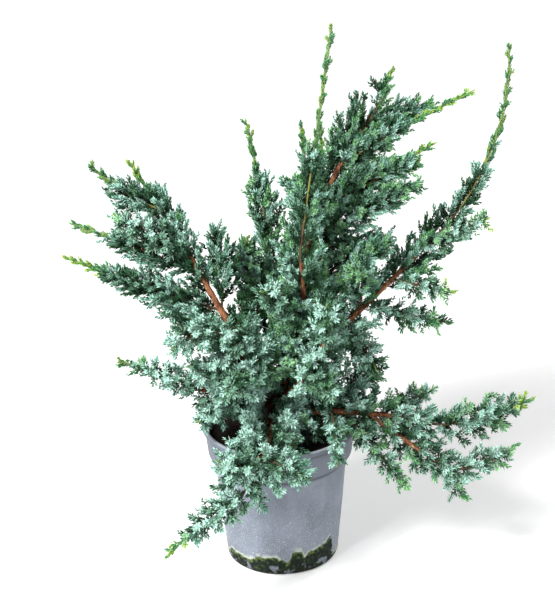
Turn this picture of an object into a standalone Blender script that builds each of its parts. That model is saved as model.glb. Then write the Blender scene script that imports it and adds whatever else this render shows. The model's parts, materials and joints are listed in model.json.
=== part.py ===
"""A flaky juniper in its nursery pot: trunk, limbs and masses of needle sprays.

Metres, +Z up. The origin is the middle of the pot's flat underside. Headings are
degrees round +Z from +X, and climbs are degrees above level.
"""

import math
import random
from collections import namedtuple

import bmesh
import bpy
import numpy as np
from mathutils import Vector

# Driving sizes
POT_HEIGHT = 0.180
RIM_RADIUS = 0.095
RIM_DEPTH = 0.006
COLLAR_TOP_RADIUS = 0.0915
COLLAR_FOOT_RADIUS = 0.0880
COLLAR_FOOT = 0.140
BODY_TOP_RADIUS = 0.0815
BODY_FOOT_RADIUS = 0.0680
CORNER_RADIUS = 0.005
POT_WALL = 0.0016
RIM_EDGE = 0.001
COLLAR_STEP = 0.0015
INNER_STEP = 0.003
FLOOR_FILLET = 0.003
COMPOST_TOP = 0.160
COMPOST_EDGE = 0.002
COMPOST_SHOULDER = 0.005
DRAIN_HOLES = 6
DRAIN_RADIUS = 0.005
DRAIN_RING = 0.045
TURN_STEPS = 28

GAP = 0.0003
GAP_ROUND_A_TUBE = 0.00035
TUBE_SIDES_RESOLUTION = 1
POINT_STEP = 0.003
LIMB_POINT_STEP = 0.030
SHOOT_POINT_STEP = 0.032
FOOT_STEP = 0.002
FOOT_SEARCH_STEP = 0.0002
CUT_WITHIN = 0.014
BLEND = 0.018

TRUNK_FOOT = (-0.026, 0.0, COMPOST_TOP + GAP)
TRUNK_CUT = 0.004
TRUNK_FLARE = 0.011
TRUNK_RADIUS = 0.0078
TRUNK_FORK_RADIUS = 0.0062
TRUNK_LENGTH = 0.078
TRUNK_CLIMB = 78
TRUNK_SWING = 4
TRUNK_LIFT = -36
TRUNK_FLARE_FADE = 0.007
TRUNK_KNOTS = (0, 1, 3, 6, 11, 18)

STEM_FOOT_RADIUS = 0.0020
STEM_TIP_RADIUS = 0.0009
FIRST_SPRAY = 0.016
LAST_SPRAY = 0.012
SPRAY_WIDTH = 0.0165
SPRAY_SLENDERNESS = 0.42
SPRAY_SPACING = 0.0205
SHORTEST_SPRAY = 0.011
LONGEST_TIP_SPRAY = 0.030
WHIP_SPACING = 0.026
WHIP_FORWARD = 24
SPRAY_FORWARD = (42, 54)
MIDDLE_FORWARD = 48
TIP_FULLNESS_LOSS = 0.5
WHIP_FULLNESS = 0.34 * 0.55
SPRAY_TRIES = 6
TRY_TURN = 0.7
TRY_SHRINK = 0.09
TURN_JITTER = 0.3
TIP_SPRAY_SHARE = 0.8
LONG_WHIP = 0.2
WHIP_TIP_SHARE = 0.6
STEM_INTO_TIP = 0.004
RING_POINTS = 8
CORE_FOOT = 0.20
CORE_MIDDLE = 0.42
NEEDLE_OUT = (0.72, 0.92)
NEEDLE_ON = (0.5, 0.8)
GOLDEN_ANGLE = math.radians(137.5)
SIDE_GUIDE = (0.3, 0.2, 1.0)
SEED = 11

Limb = namedtuple("Limb", "name parent at heading climb swing lift length foot tip")
Plume = namedtuple("Plume", "name limb at heading climb swing lift length reach whip")

# Each limb leaves its parent at a share of the parent's length, and turns evenly along its own
LIMBS = [
    Limb("left_limb", "trunk", 0.62, -174, 66, -40, -8, 0.259, 0.0050, 0.0026),
    Limb("upper_limb", "trunk", 1, 100, 70, -100, -16, 0.348, 0.0055, 0.0022),
    Limb("right_limb", "trunk", 0.90, -10, 51, 36, -15, 0.266, 0.0042, 0.0024),
    Limb("leader_limb", "trunk", 0.80, -60, 51, 18, 48, 0.205, 0.0036, 0.0022),
    Limb("lower_right_limb", "trunk", 0.30, -25, 22, 34, -44, 0.212, 0.0042, 0.0023),
    Limb("lower_right_arm", "lower_right_limb", 0.64, -19, -36, 3, 6, 0.109, 0.0026, 0.0020),
    Limb("drooping_limb", "trunk", 0.16, -59, 47, -80, -104, 0.167, 0.0040, 0.0023),
    Limb("lower_left_limb", "trunk", 0.26, -137, 56, -13, -35, 0.112, 0.0038, 0.0023),
    Limb("left_bank_limb", "trunk", 0.44, -83, 55, -71, 2, 0.153, 0.0036, 0.0022),
    Limb("front_limb", "trunk", 0.56, -50, 33, -1, 33, 0.162, 0.0036, 0.0022),
    Limb("back_limb", "trunk", 0.74, 63, 28, 61, 32, 0.175, 0.0044, 0.0023),
    Limb("rear_limb", "trunk", 0.42, 100, 32, -12, 14, 0.135, 0.0042, 0.0023),
]

PLUMES = [
    Plume("left_crest", "left_limb", 1, 174, 19, 16, 32, 0.120, 0.031, 0.38),
    Plume("left_spire", "left_limb", 0.90, 118, 37, 75, 29, 0.115, 0.027, 0.45),
    Plume("left_fringe", "left_limb", 0.84, -154, 38, -15, -4, 0.108, 0.029, 0),
    Plume("left_sweep", "left_limb", 0.72, 153, 14, 21, 6, 0.168, 0.027, 0.30),
    Plume("left_shoulder", "left_limb", 0.52, 67, 64, 62, 4, 0.094, 0.028, 0),
    Plume("left_streamer", "left_limb", 0.52, -167, 25, -11, 1, 0.202, 0.031, 0.25),
    Plume("left_bank", "left_bank_limb", 1, -135, 61, -41, -110, 0.093, 0.034, 0),
    Plume("centre_left", "left_bank_limb", 0.55, -98, 34, -27, -37, 0.097, 0.034, 0),
    Plume("lower_left_tail", "lower_left_limb", 1, -145, 46, -23, -27, 0.121, 0.024, 0.12),
    Plume("lower_left_bank", "lower_left_limb", 0.72, -75, 65, -85, -44, 0.102, 0.031, 0),
    Plume("lower_left_apron", "lower_left_limb", 0.60, -124, -20, -25, 15, 0.056, 0.027, 0),
    Plume("drooping_tail", "drooping_limb", 1, -114, 13, -62, -61, 0.134, 0.029, 0.22),
    Plume("drooping_bank", "drooping_limb", 0.82, -101, 14, -72, 23, 0.072, 0.031, 0),
    Plume("drooping_fringe", "drooping_limb", 0.76, -72, 30, 74, -70, 0.078, 0.030, 0),
    Plume("centre_front", "front_limb", 1, -93, 45, 6, 28, 0.075, 0.034, 0),
    Plume("centre_low", "front_limb", 0.62, -65, 28, -6, -51, 0.072, 0.029, 0),
    Plume("centre_right", "right_limb", 0.36, -56, 24, 9, -77, 0.082, 0.034, 0),
    Plume("centre_heart", "leader_limb", 0.60, -106, 57, -40, -26, 0.107, 0.034, 0),
    Plume("upper_left_bank", "upper_limb", 0.53, -84, 51, -90, 22, 0.096, 0.027, 0),
    Plume("left_tower", "back_limb", 0.62, 154, 42, 110, 44, 0.122, 0.031, 0.10),
    Plume("left_leader", "back_limb", 1, 177, 86, -22, -8, 0.188, 0.031, 0.42),
    Plume("back_whip", "back_limb", 0.88, 18, 38, 70, 56, 0.200, 0.027, 0.30),
    Plume("back_plume", "back_limb", 0.66, 60, 20, 20, 50, 0.120, 0.036, 0),
    Plume("rear_left_plume", "rear_limb", 0.60, 170, 14, -10, 24, 0.120, 0.036, 0),
    Plume("rear_right_plume", "rear_limb", 0.66, 20, 14, 12, 24, 0.130, 0.036, 0),
    Plume("rear_low_plume", "rear_limb", 1, 75, 10, 0, -60, 0.080, 0.036, 0),
    Plume("front_leader", "leader_limb", 1, 33, 80, -37, 2, 0.294, 0.027, 0.50),
    Plume("crown_tuft", "upper_limb", 1, 50, 76, -40, -16, 0.061, 0.018, 0.35),
    Plume("crown_fan", "upper_limb", 0.90, 1, 38, -1, -28, 0.100, 0.024, 0.05),
    Plume("golden_whip", "upper_limb", 0.78, -36, 42, 36, -15, 0.203, 0.023, 0.45),
    Plume("upper_right_first", "upper_limb", 0.66, -29, 35, 38, -11, 0.157, 0.027, 0.35),
    Plume("upper_right_second", "upper_limb", 0.58, -47, 46, 44, -21, 0.169, 0.029, 0),
    Plume("upper_right_third", "upper_limb", 0.48, -50, 45, 42, -18, 0.186, 0.030, 0),
    Plume("upper_right_fifth", "upper_limb", 0.30, -50, 49, 49, -24, 0.157, 0.030, 0),
    Plume("right_leader", "right_limb", 1, 4, 48, 5, 45, 0.261, 0.020, 0.50),
    Plume("right_front", "right_limb", 0.92, -30, 38, 24, -14, 0.092, 0.022, 0),
    Plume("right_shelf", "right_limb", 0.72, -53, 11, 63, -31, 0.082, 0.022, 0.12),
    Plume("right_low", "right_limb", 0.58, 10, -36, 1, 27, 0.108, 0.024, 0.10),
    Plume("right_mid", "right_limb", 0.50, -53, 70, -71, -17, 0.090, 0.029, 0),
    Plume("right_tail", "lower_right_limb", 1, -5, 9, 7, 15, 0.129, 0.034, 0.13),
    Plume("right_hump", "lower_right_limb", 0.72, 63, -6, -86, 43, 0.074, 0.022, 0),
    Plume("right_skirt", "lower_right_limb", 0.50, -28, -43, -6, -5, 0.118, 0.024, 0.05),
    Plume("right_bank", "lower_right_limb", 0.33, 14, 40, 10, -22, 0.088, 0.036, 0),
    Plume("right_fork_tail", "lower_right_arm", 1, -11, 12, -5, 26, 0.094, 0.027, 0.08),
    Plume("right_fork_drop", "lower_right_arm", 0.90, -12, -50, -14, -4, 0.056, 0.019, 0.05),
]


def unit(v):
    return v / np.linalg.norm(v)


def shoot_path(base, row, lead=None):
    """Points of a shoot that sets off on its heading and climb and turns evenly along its length.
    With a lead, it sets off that way and bends to its own course over the next BLEND."""
    steps = max(6, round(row.length / POINT_STEP))
    share = (np.arange(steps) + 0.5) / steps
    heading = np.radians(row.heading + row.swing * share)
    climb = np.radians(row.climb + row.lift * share)
    course = np.stack(
        [np.cos(climb) * np.cos(heading), np.cos(climb) * np.sin(heading), np.sin(climb)], 1
    )
    if lead is not None:
        own = np.clip((share * row.length - POINT_STEP) / BLEND, 0, 1)[:, None]
        course = lead * (1 - own) + course * own
        course /= np.linalg.norm(course, axis=1)[:, None]
    return np.vstack([base, base + np.cumsum(course * row.length / steps, 0)])


def lengths_along(path):
    return np.r_[0, np.cumsum(np.linalg.norm(np.diff(path, axis=0), axis=1))]


def point_at(path, distance):
    along = lengths_along(path)
    return np.array([np.interp(distance, along, path[:, k]) for k in range(3)])


def end_course(path):
    return unit(path[-1] - path[-2])


def thinned(path, step):
    """The path with points an even step apart, for a tube with few faces. One more point near
    the foot keeps the first ring square to the way the path sets off."""
    total = lengths_along(path)[-1]
    even = list(np.linspace(0, total, max(3, round(total / step) + 1)))
    return [point_at(path, d) for d in [0, FOOT_STEP] + even[1:]]


def material(name, colour, roughness):
    made = bpy.data.materials.new(name)
    made.use_nodes = True
    shader = made.node_tree.nodes["Principled BSDF"]
    shader.inputs["Base Color"].default_value = (*colour, 1)
    shader.inputs["Roughness"].default_value = roughness
    return made


def clear_scene():
    for item in list(bpy.data.objects):
        bpy.data.objects.remove(item)


def collection(name):
    made = bpy.data.collections.new(name)
    bpy.context.scene.collection.children.link(made)
    return made


def add_mesh(name, mesh, home, surface=None):
    made = bpy.data.objects.new(name, mesh)
    home.objects.link(made)
    if surface:
        mesh.materials.clear()
        mesh.materials.append(surface)
    return made


def evaluated_mesh(item):
    """The object's mesh with its modifiers applied and any loose caps welded."""
    bpy.context.view_layer.update()
    graph = bpy.context.evaluated_depsgraph_get()
    mesh = bpy.data.meshes.new_from_object(item.evaluated_get(graph))
    bm = bmesh.new()
    bm.from_mesh(mesh)
    bmesh.ops.remove_doubles(bm, verts=bm.verts, dist=0.00001)
    bm.to_mesh(mesh)
    bm.free()
    return mesh


def tube_mesh(points, radii, resolution):
    """A round tube through the points, its radius read from radii, with closed ends."""
    curve = bpy.data.curves.new("tube", "CURVE")
    curve.dimensions = "3D"
    curve.bevel_depth = 1.0
    curve.bevel_resolution = resolution
    curve.use_fill_caps = True
    line = curve.splines.new("POLY")
    line.points.add(len(points) - 1)
    for knot, place, radius in zip(line.points, points, radii):
        knot.co = (*place, 1)
        knot.radius = radius
    item = bpy.data.objects.new("tube", curve)
    bpy.context.scene.collection.objects.link(item)
    mesh = evaluated_mesh(item)
    bpy.data.objects.remove(item)
    return mesh


def turned(name, profile, home, surface):
    """A solid turned from a profile of (radius, height) points round the Z axis."""
    mesh = bpy.data.meshes.new(name)
    corners = [(radius, 0, height) for radius, height in profile]
    mesh.from_pydata(corners, [(k, k + 1) for k in range(len(corners) - 1)], [])
    item = add_mesh(name, mesh, home, surface)
    screw = item.modifiers.new("Turn", "SCREW")
    screw.steps = TURN_STEPS
    screw.render_steps = TURN_STEPS
    screw.use_merge_vertices = True
    screw.merge_threshold = 0.00001
    screw.use_smooth_shade = True
    return item


def inner_radius(height):
    """The pot's inner wall, a wall's thickness inside its body."""
    share = (height - CORNER_RADIUS) / (COLLAR_FOOT - CORNER_RADIUS)
    return BODY_FOOT_RADIUS + (BODY_TOP_RADIUS - BODY_FOOT_RADIUS) * share - POT_WALL


def pot_profile():
    floor = POT_WALL
    shoulder = COLLAR_FOOT
    lip = POT_HEIGHT - RIM_DEPTH
    corner = [
        (
            BODY_FOOT_RADIUS - CORNER_RADIUS * (1 - math.cos(turn)),
            CORNER_RADIUS * (1 - math.sin(turn)),
        )
        for turn in (0, math.pi / 4, math.pi / 2)
    ]
    inside = [
        (0, floor),
        (inner_radius(CORNER_RADIUS) - FLOOR_FILLET, floor),
        (inner_radius(CORNER_RADIUS), CORNER_RADIUS),
        (inner_radius(shoulder), shoulder),
        (COLLAR_FOOT_RADIUS - POT_WALL, shoulder + INNER_STEP),
        (COLLAR_TOP_RADIUS - POT_WALL, POT_HEIGHT - RIM_EDGE),
    ]
    outside = [
        (COLLAR_TOP_RADIUS - POT_WALL / 2, POT_HEIGHT),
        (RIM_RADIUS - RIM_EDGE, POT_HEIGHT),
        (RIM_RADIUS, POT_HEIGHT - RIM_EDGE),
        (RIM_RADIUS, lip + RIM_EDGE),
        (RIM_RADIUS - RIM_EDGE, lip),
        (COLLAR_TOP_RADIUS, lip),
        (COLLAR_FOOT_RADIUS, shoulder),
        (BODY_TOP_RADIUS, shoulder - COLLAR_STEP),
    ]
    return inside + outside + corner + [(0, 0)]


def add_pot(home, cutters, surface):
    pot = turned("pot", pot_profile(), home, surface)
    for k in range(DRAIN_HOLES):
        turn = 2 * math.pi * (k + 0.5) / DRAIN_HOLES
        place = (DRAIN_RING * math.cos(turn), DRAIN_RING * math.sin(turn), 0)
        bpy.ops.mesh.primitive_cylinder_add(
            vertices=8, radius=DRAIN_RADIUS, depth=4 * POT_WALL, location=place
        )
        drill = bpy.context.object
        drill.name = f"drain_drill_{k + 1}"
        for owner in list(drill.users_collection):
            owner.objects.unlink(drill)
        cutters.objects.link(drill)
        drill.display_type = "WIRE"
        drill.hide_render = True
    cut = pot.modifiers.new("Drain holes", "BOOLEAN")
    cut.operation = "DIFFERENCE"
    cut.operand_type = "COLLECTION"
    cut.collection = cutters


def add_compost(home, surface):
    """The filled inside of the pot, a gap clear of the wall and the floor."""
    foot = POT_WALL + GAP
    corner = inner_radius(CORNER_RADIUS)
    shoulder = COLLAR_FOOT
    slope = (COLLAR_TOP_RADIUS - COLLAR_FOOT_RADIUS) / (POT_HEIGHT - COLLAR_FOOT)
    top_radius = COLLAR_FOOT_RADIUS - POT_WALL + slope * (COMPOST_TOP - shoulder - INNER_STEP)
    profile = [
        (0, COMPOST_TOP),
        (0.5 * RIM_RADIUS, COMPOST_TOP),
        (top_radius - 2 * GAP, COMPOST_TOP - COMPOST_EDGE),
        (COLLAR_FOOT_RADIUS - POT_WALL - 3 * GAP, shoulder + COMPOST_SHOULDER),
        (inner_radius(shoulder) - 2 * GAP, shoulder),
        (corner - 2 * GAP, CORNER_RADIUS + GAP),
        (corner - FLOOR_FILLET - 2 * GAP, foot),
        (0, foot),
    ]
    turned("compost", profile, home, surface)


def tidy_solid(mesh):
    """Drops any loose scrap, so that one closed body is left."""
    bm = bmesh.new()
    bm.from_mesh(mesh)
    bmesh.ops.triangulate(bm, faces=bm.faces)
    left = set(bm.verts)
    bodies = []
    while left:
        body = [left.pop()]
        for vert in body:
            for edge in vert.link_edges:
                other = edge.other_vert(vert)
                if other in left:
                    left.discard(other)
                    body.append(other)
        bodies.append(body)
    bodies.sort(key=len, reverse=True)
    for body in bodies[1:]:
        bmesh.ops.delete(bm, geom=body, context="VERTS")
    bm.to_mesh(mesh)
    bm.free()


def is_closed(mesh):
    bm = bmesh.new()
    bm.from_mesh(mesh)
    closed = all(len(edge.link_faces) == 2 for edge in bm.edges)
    bm.free()
    return closed


def boolean_with(mesh, others, operation, scratch):
    """One Boolean of the mesh with every mesh in others, applied. EXACT is tried first, and
    MANIFOLD where that leaves an open edge."""
    group = collection("joining")
    body = add_mesh("body", mesh, scratch)
    for k, other in enumerate(others):
        add_mesh(f"other_{k}", other, group)
    step = body.modifiers.new("Boolean", "BOOLEAN")
    step.operation = operation
    step.operand_type = "COLLECTION"
    step.collection = group
    for solver in ("EXACT", "MANIFOLD"):
        step.solver = solver
        made = evaluated_mesh(body)
        tidy_solid(made)
        if is_closed(made):
            break
    bpy.data.objects.remove(body)
    for item in list(group.objects):
        bpy.data.objects.remove(item)
    bpy.data.collections.remove(group)
    return made


def limb_radii(row, points):
    along = lengths_along(np.array(points))
    return row.foot + (row.tip - row.foot) * along / along[-1]


def trunk_points():
    """The trunk rises square from its cut, flares there, and leans to its fork."""
    foot = np.array(TRUNK_FOOT)
    row = Limb("trunk", None, 0, 0, TRUNK_CLIMB, TRUNK_SWING, TRUNK_LIFT, TRUNK_LENGTH, 0, 0)
    above = shoot_path(foot + (0, 0, TRUNK_CUT), row)
    return np.vstack([foot, above])


def trunk_radius(distance):
    flare = (TRUNK_FLARE - TRUNK_RADIUS) * math.exp(-distance / TRUNK_FLARE_FADE)
    taper = (TRUNK_RADIUS - TRUNK_FORK_RADIUS) * distance / TRUNK_LENGTH
    return TRUNK_RADIUS + flare - taper


def add_limbs(home, scratch, surface):
    """The trunk, then each limb with its foot cut to sit a gap clear of what it grows from.
    Returns each one's path and radii for the masses to keep clear of."""
    path = trunk_points()
    along = lengths_along(path)
    shown = [*TRUNK_KNOTS, len(path) - 1]
    radii = np.array([trunk_radius(d) for d in along])
    knots = path[shown]
    mesh = tube_mesh(knots, radii[shown], TUBE_SIDES_RESOLUTION)
    add_mesh("trunk", mesh, home, surface)
    paths = {"trunk": (knots, radii[shown])}
    swollen = {"trunk": tube_mesh(knots, radii[shown] + GAP_ROUND_A_TUBE, TUBE_SIDES_RESOLUTION)}
    for row in LIMBS:
        parent, parent_radii = paths[row.parent]
        total = lengths_along(parent)[-1]
        lead = None
        base = point_at(parent, row.at * total)
        if row.at == 1:
            lead = end_course(parent)
            base = base + lead * GAP
        path = shoot_path(base, row, lead)
        knots = thinned(path, LIMB_POINT_STEP)
        knot_radii = limb_radii(row, knots)
        mesh = tube_mesh(knots, knot_radii, TUBE_SIDES_RESOLUTION)
        near = [
            name
            for name in swollen
            if paths_gap(knots, paths[name][0]) < CUT_WITHIN
            and not (row.at == 1 and name == row.parent)
        ]
        if near:
            mesh = boolean_with(
                mesh, [swollen[name].copy() for name in near], "DIFFERENCE", scratch
            )
        add_mesh(row.name, mesh, home, surface)
        swollen[row.name] = tube_mesh(
            knots, [r + GAP_ROUND_A_TUBE for r in knot_radii], TUBE_SIDES_RESOLUTION
        )
        paths[row.name] = (np.array(knots), knot_radii)
    return paths


def paths_gap(one, other):
    """The least distance from one path's points to the other path."""
    return min(nearest(np.array(point), other)[0] for point in one)


def nearest(point, path):
    """The distance from a point to a path, and the nearest place's number along its points."""
    start = path[:-1]
    run = path[1:] - start
    share = np.clip(np.sum((point - start) * run, 1) / np.sum(run * run, 1), 0, 1)
    gaps = np.linalg.norm(start + run * share[:, None] - point, axis=1)
    k = int(gaps.argmin())
    return float(gaps[k]), k + float(share[k])


def clearance(point, path, radii):
    """How far a point is outside a tapering limb."""
    gap, place = nearest(point, path)
    return gap - float(np.interp(place, range(len(radii)), radii))


def stem_paths(limbs):
    """Each mass's stem: from a gap clear of its limb to its tip."""
    stems = {}
    for row in PLUMES:
        parent, radii = limbs[row.limb]
        base = point_at(parent, row.at * lengths_along(parent)[-1])
        if row.at == 1:
            lead = end_course(parent)
            path = shoot_path(base + lead * GAP, row, lead)
        else:
            path = cut_clear(shoot_path(base, row), parent, radii)
        stems[row.name] = path
    return stems


def foot_ring(place, course):
    """Points round the stem's foot, square to its course."""
    side = unit(np.cross(course, SIDE_GUIDE))
    other = np.cross(course, side)
    turns = [2 * math.pi * k / RING_POINTS for k in range(RING_POINTS)]
    return [place + STEM_FOOT_RADIUS * (side * math.cos(t) + other * math.sin(t)) for t in turns]


def cut_clear(path, parent, radii):
    """The path from where its whole foot ring is a gap clear of the parent limb."""
    along = lengths_along(path)
    distance = 0.0
    clear = False
    while not clear:
        distance += FOOT_SEARCH_STEP
        place = point_at(path, distance)
        course = unit(point_at(path, distance + FOOT_STEP) - place)
        ring = foot_ring(place, course)
        clear = all(clearance(corner, parent, radii) >= GAP / 2 for corner in ring)
    return np.vstack([place, path[along > distance + FOOT_STEP / 2]])


def spray_mesh(root, course, length, width, rng):
    """A slim three-sided core with a needle drawn out of each of its faces."""
    bm = bmesh.new()
    bmesh.ops.create_cone(
        bm, cap_ends=True, segments=3, radius1=width * CORE_FOOT, radius2=0.0, depth=length
    )
    bmesh.ops.translate(bm, verts=bm.verts, vec=(0, 0, length / 2))
    bmesh.ops.bisect_plane(
        bm,
        geom=bm.verts[:] + bm.edges[:] + bm.faces[:],
        plane_co=(0, 0, length * 0.5),
        plane_no=(0, 0, 1),
    )
    for vert in bm.verts:
        if 0.4 * length < vert.co.z < 0.6 * length:
            vert.co.xy = vert.co.xy.normalized() * width * CORE_MIDDLE
    sides = [face for face in bm.faces if face.calc_center_median().z > 0.1 * length]
    drawn = bmesh.ops.poke(bm, faces=sides)["verts"]
    for vert in drawn:
        out = width * rng.uniform(*NEEDLE_OUT)
        vert.co.xy = vert.co.xy.normalized() * out
        vert.co.z += width * rng.uniform(*NEEDLE_ON)
    bmesh.ops.triangulate(bm, faces=bm.faces)
    bmesh.ops.recalc_face_normals(bm, faces=bm.faces)
    turn = Vector(course).to_track_quat("Z", "Y")
    bmesh.ops.rotate(bm, verts=bm.verts, matrix=turn.to_matrix())
    bmesh.ops.translate(bm, verts=bm.verts, vec=root)
    mesh = bpy.data.meshes.new("spray")
    bm.to_mesh(mesh)
    bm.free()
    return mesh


# How far a spray stands out from its own line, as shares of its length and width
SPRAY_SHAPE = ((0.0, 0.25), (0.2, 0.6), (0.4, 1.0), (0.6, 1.0), (0.8, 0.95), (1.0, 0.3))


class Room:
    """What is already taken up round the limbs, and which stem each place belongs to."""

    def __init__(self, limbs, stems):
        self.limbs = limbs
        self.stems = stems
        self.taken = []

    def in_pot(self, place, size):
        low = place[2] < POT_HEIGHT + size + GAP
        return low and math.hypot(place[0], place[1]) < RIM_RADIUS + size + GAP

    def free(self, name, balls):
        for place, size in balls:
            if self.in_pot(place, size) or place[2] < size:
                return False
            for path, radii in self.limbs.values():
                if clearance(place, path, radii) < size + GAP:
                    return False
            for other, path in self.stems.items():
                if other != name and nearest(place, path)[0] < size + STEM_FOOT_RADIUS + GAP:
                    return False
            for other, spot, other_size in self.taken:
                if other != name and np.linalg.norm(place - spot) < size + other_size + GAP:
                    return False
        tip = balls[-1][0]
        own = nearest(tip, self.stems[name])[0]
        others = [path for other, path in self.stems.items() if other != name]
        return all(own < nearest(tip, path)[0] for path in others)

    def take(self, name, balls):
        self.taken += [(name, place, size) for place, size in balls]


def spray_balls(root, course, length, width):
    return [(root + course * share * length, size * width) for share, size in SPRAY_SHAPE]


def plan_sprays(row, path, room, rng):
    """The mass's sprays as (root, course, length, width): round the stem by the golden angle,
    long where the mass is full, short and close along a whip, and none that leaves its room."""
    total = lengths_along(path)[-1]
    full = total * (1 - row.whip)
    places = list(np.arange(FIRST_SPRAY, full, SPRAY_SPACING))
    places += list(np.arange(full + 0.5 * WHIP_SPACING, total - LAST_SPRAY, WHIP_SPACING))
    sprays = []
    turn = rng.uniform(0, 2 * math.pi)
    for distance in places:
        turn += GOLDEN_ANGLE + rng.uniform(-TURN_JITTER, TURN_JITTER)
        whip = distance > full
        place = point_at(path, distance)
        course = unit(point_at(path, distance + FOOT_STEP) - place)
        side = unit(np.cross(course, SIDE_GUIDE))
        other = np.cross(course, side)
        forward = math.radians(WHIP_FORWARD if whip else rng.uniform(*SPRAY_FORWARD))
        fullness = WHIP_FULLNESS if whip else 1 - TIP_FULLNESS_LOSS * (distance / full) ** 3
        longest = row.reach * fullness / math.sin(math.radians(MIDDLE_FORWARD))
        longest = max(SHORTEST_SPRAY, longest)
        for attempt in range(SPRAY_TRIES):
            angle = turn + attempt * TRY_TURN
            shrink = 1 - TRY_SHRINK * attempt
            away = side * math.cos(angle) + other * math.sin(angle)
            way = course * math.cos(forward) + away * math.sin(forward)
            length = longest * shrink
            width = min(SPRAY_WIDTH, SPRAY_SLENDERNESS * length)
            balls = spray_balls(place, way, length, width)
            if room.free(row.name, balls[1:]):
                room.take(row.name, balls)
                sprays.append((place, way, length, width))
                break
    return sprays


def add_mass(row, path, sprays, home, scratch, surface, rng):
    """One mass: its stem, a spray at the stem's tip, and the planned sprays, fused. A mass that
    won't close has one spray fewer until it does."""
    tip_length = min(LONGEST_TIP_SPRAY, TIP_SPRAY_SHARE * row.reach)
    if row.whip > LONG_WHIP:
        tip_length *= WHIP_TIP_SHARE
    along = lengths_along(path)
    stem_end = along[-1] - tip_length
    stem = path[along < stem_end]
    stem = np.vstack([stem, point_at(path, stem_end + STEM_INTO_TIP)])
    knots = thinned(stem, SHOOT_POINT_STEP)
    radii = np.linspace(STEM_FOOT_RADIUS, STEM_TIP_RADIUS, len(knots))
    body = tube_mesh(knots, radii, 0)
    width = min(SPRAY_WIDTH, SPRAY_SLENDERNESS * tip_length)
    root = point_at(path, stem_end)
    end = (root, unit(path[-1] - root), tip_length, width)
    others = [spray_mesh(*spray, rng) for spray in [end] + sprays]
    mesh = boolean_with(body.copy(), others, "UNION", scratch)
    while not is_closed(mesh):
        others.pop()
        mesh = boolean_with(body.copy(), others, "UNION", scratch)
    add_mesh(row.name, mesh, home, surface)


def main():
    clear_scene()
    home = collection("potted_flaky_juniper")
    cutters = collection("cutters")
    scratch = collection("scratch")
    grey_plastic = material("grey_plastic", (0.29, 0.30, 0.34), 0.55)
    dark_earth = material("dark_earth", (0.035, 0.028, 0.022), 0.95)
    bark = material("bark", (0.23, 0.12, 0.075), 0.85)
    needles = material("needles", (0.20, 0.34, 0.29), 0.6)

    add_pot(home, cutters, grey_plastic)
    add_compost(home, dark_earth)
    limbs = add_limbs(home, scratch, bark)
    stems = stem_paths(limbs)
    room = Room(limbs, stems)
    rng = random.Random(SEED)
    for row in PLUMES:
        sprays = plan_sprays(row, stems[row.name], room, rng)
        add_mass(row, stems[row.name], sprays, home, scratch, needles, rng)
    bpy.data.collections.remove(scratch)


main()
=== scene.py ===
# %% [markdown]
# A flaky juniper in its nursery pot
#
# The real object is a young blue-green juniper: a short trunk, a dozen bare boughs, and some
# forty plumes of needles on them, in a dusty plastic pot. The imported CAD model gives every
# piece its place and size. This script keeps that frame and grows the looks on it: bark on
# the wood, twigs and single needles in each plume, wear and moss on the pot.
# Everything is in metres with +Z up, and the origin is the middle of the pot's underside.

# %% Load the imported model
import json
import math
from collections import namedtuple

import bmesh
import bpy
import numpy as np
from mathutils import Matrix, Vector, kdtree, noise

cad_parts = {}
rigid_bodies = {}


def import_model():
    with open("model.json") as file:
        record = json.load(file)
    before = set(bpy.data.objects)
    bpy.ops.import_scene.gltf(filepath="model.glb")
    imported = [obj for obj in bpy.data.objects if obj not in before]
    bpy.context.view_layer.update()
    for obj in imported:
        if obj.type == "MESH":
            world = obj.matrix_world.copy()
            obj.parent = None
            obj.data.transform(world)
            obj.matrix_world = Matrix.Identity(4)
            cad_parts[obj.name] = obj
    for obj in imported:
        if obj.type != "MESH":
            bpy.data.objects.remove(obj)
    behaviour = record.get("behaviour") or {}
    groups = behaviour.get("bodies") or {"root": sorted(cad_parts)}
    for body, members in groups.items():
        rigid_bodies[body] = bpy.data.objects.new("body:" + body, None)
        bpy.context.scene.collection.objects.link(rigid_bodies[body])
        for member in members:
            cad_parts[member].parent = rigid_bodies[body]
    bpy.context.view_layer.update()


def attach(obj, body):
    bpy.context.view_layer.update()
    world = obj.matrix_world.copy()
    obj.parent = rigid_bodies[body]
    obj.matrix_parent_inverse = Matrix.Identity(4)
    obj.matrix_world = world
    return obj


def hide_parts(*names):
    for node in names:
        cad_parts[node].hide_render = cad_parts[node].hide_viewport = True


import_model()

# %% [markdown]
# The camera
#
# The photograph was taken from in front and a little above, with a long lens, so that the pot's
# sides hardly converge. A camera needs a place, a way to look and a way that is up. Writing
# the three as vectors and turning them into one matrix is plainer than three angles.

# %% Make the camera
CAMERA_PLACE = Vector((0.0017, -3.4, 2.025))
CAMERA_LOOK = Vector((0, 0.89623, -0.44359))
CAMERA_UP = Vector((0.02740, 0.44342, 0.89589))
SENSOR_WIDTH = 36
LENS = 190.4

lens = bpy.data.cameras.new("camera")
lens.sensor_fit = "AUTO"
lens.sensor_width = SENSOR_WIDTH
lens.lens = LENS
camera = bpy.data.objects.new("camera", lens)
bpy.context.scene.collection.objects.link(camera)
camera_right = CAMERA_LOOK.cross(CAMERA_UP).normalized()
camera_up = camera_right.cross(CAMERA_LOOK).normalized()
turn = Matrix((camera_right, camera_up, -CAMERA_LOOK)).transposed().to_4x4()
camera.matrix_world = Matrix.Translation(CAMERA_PLACE) @ turn
bpy.context.scene.camera = camera
print("camera at", tuple(CAMERA_PLACE))

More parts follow.
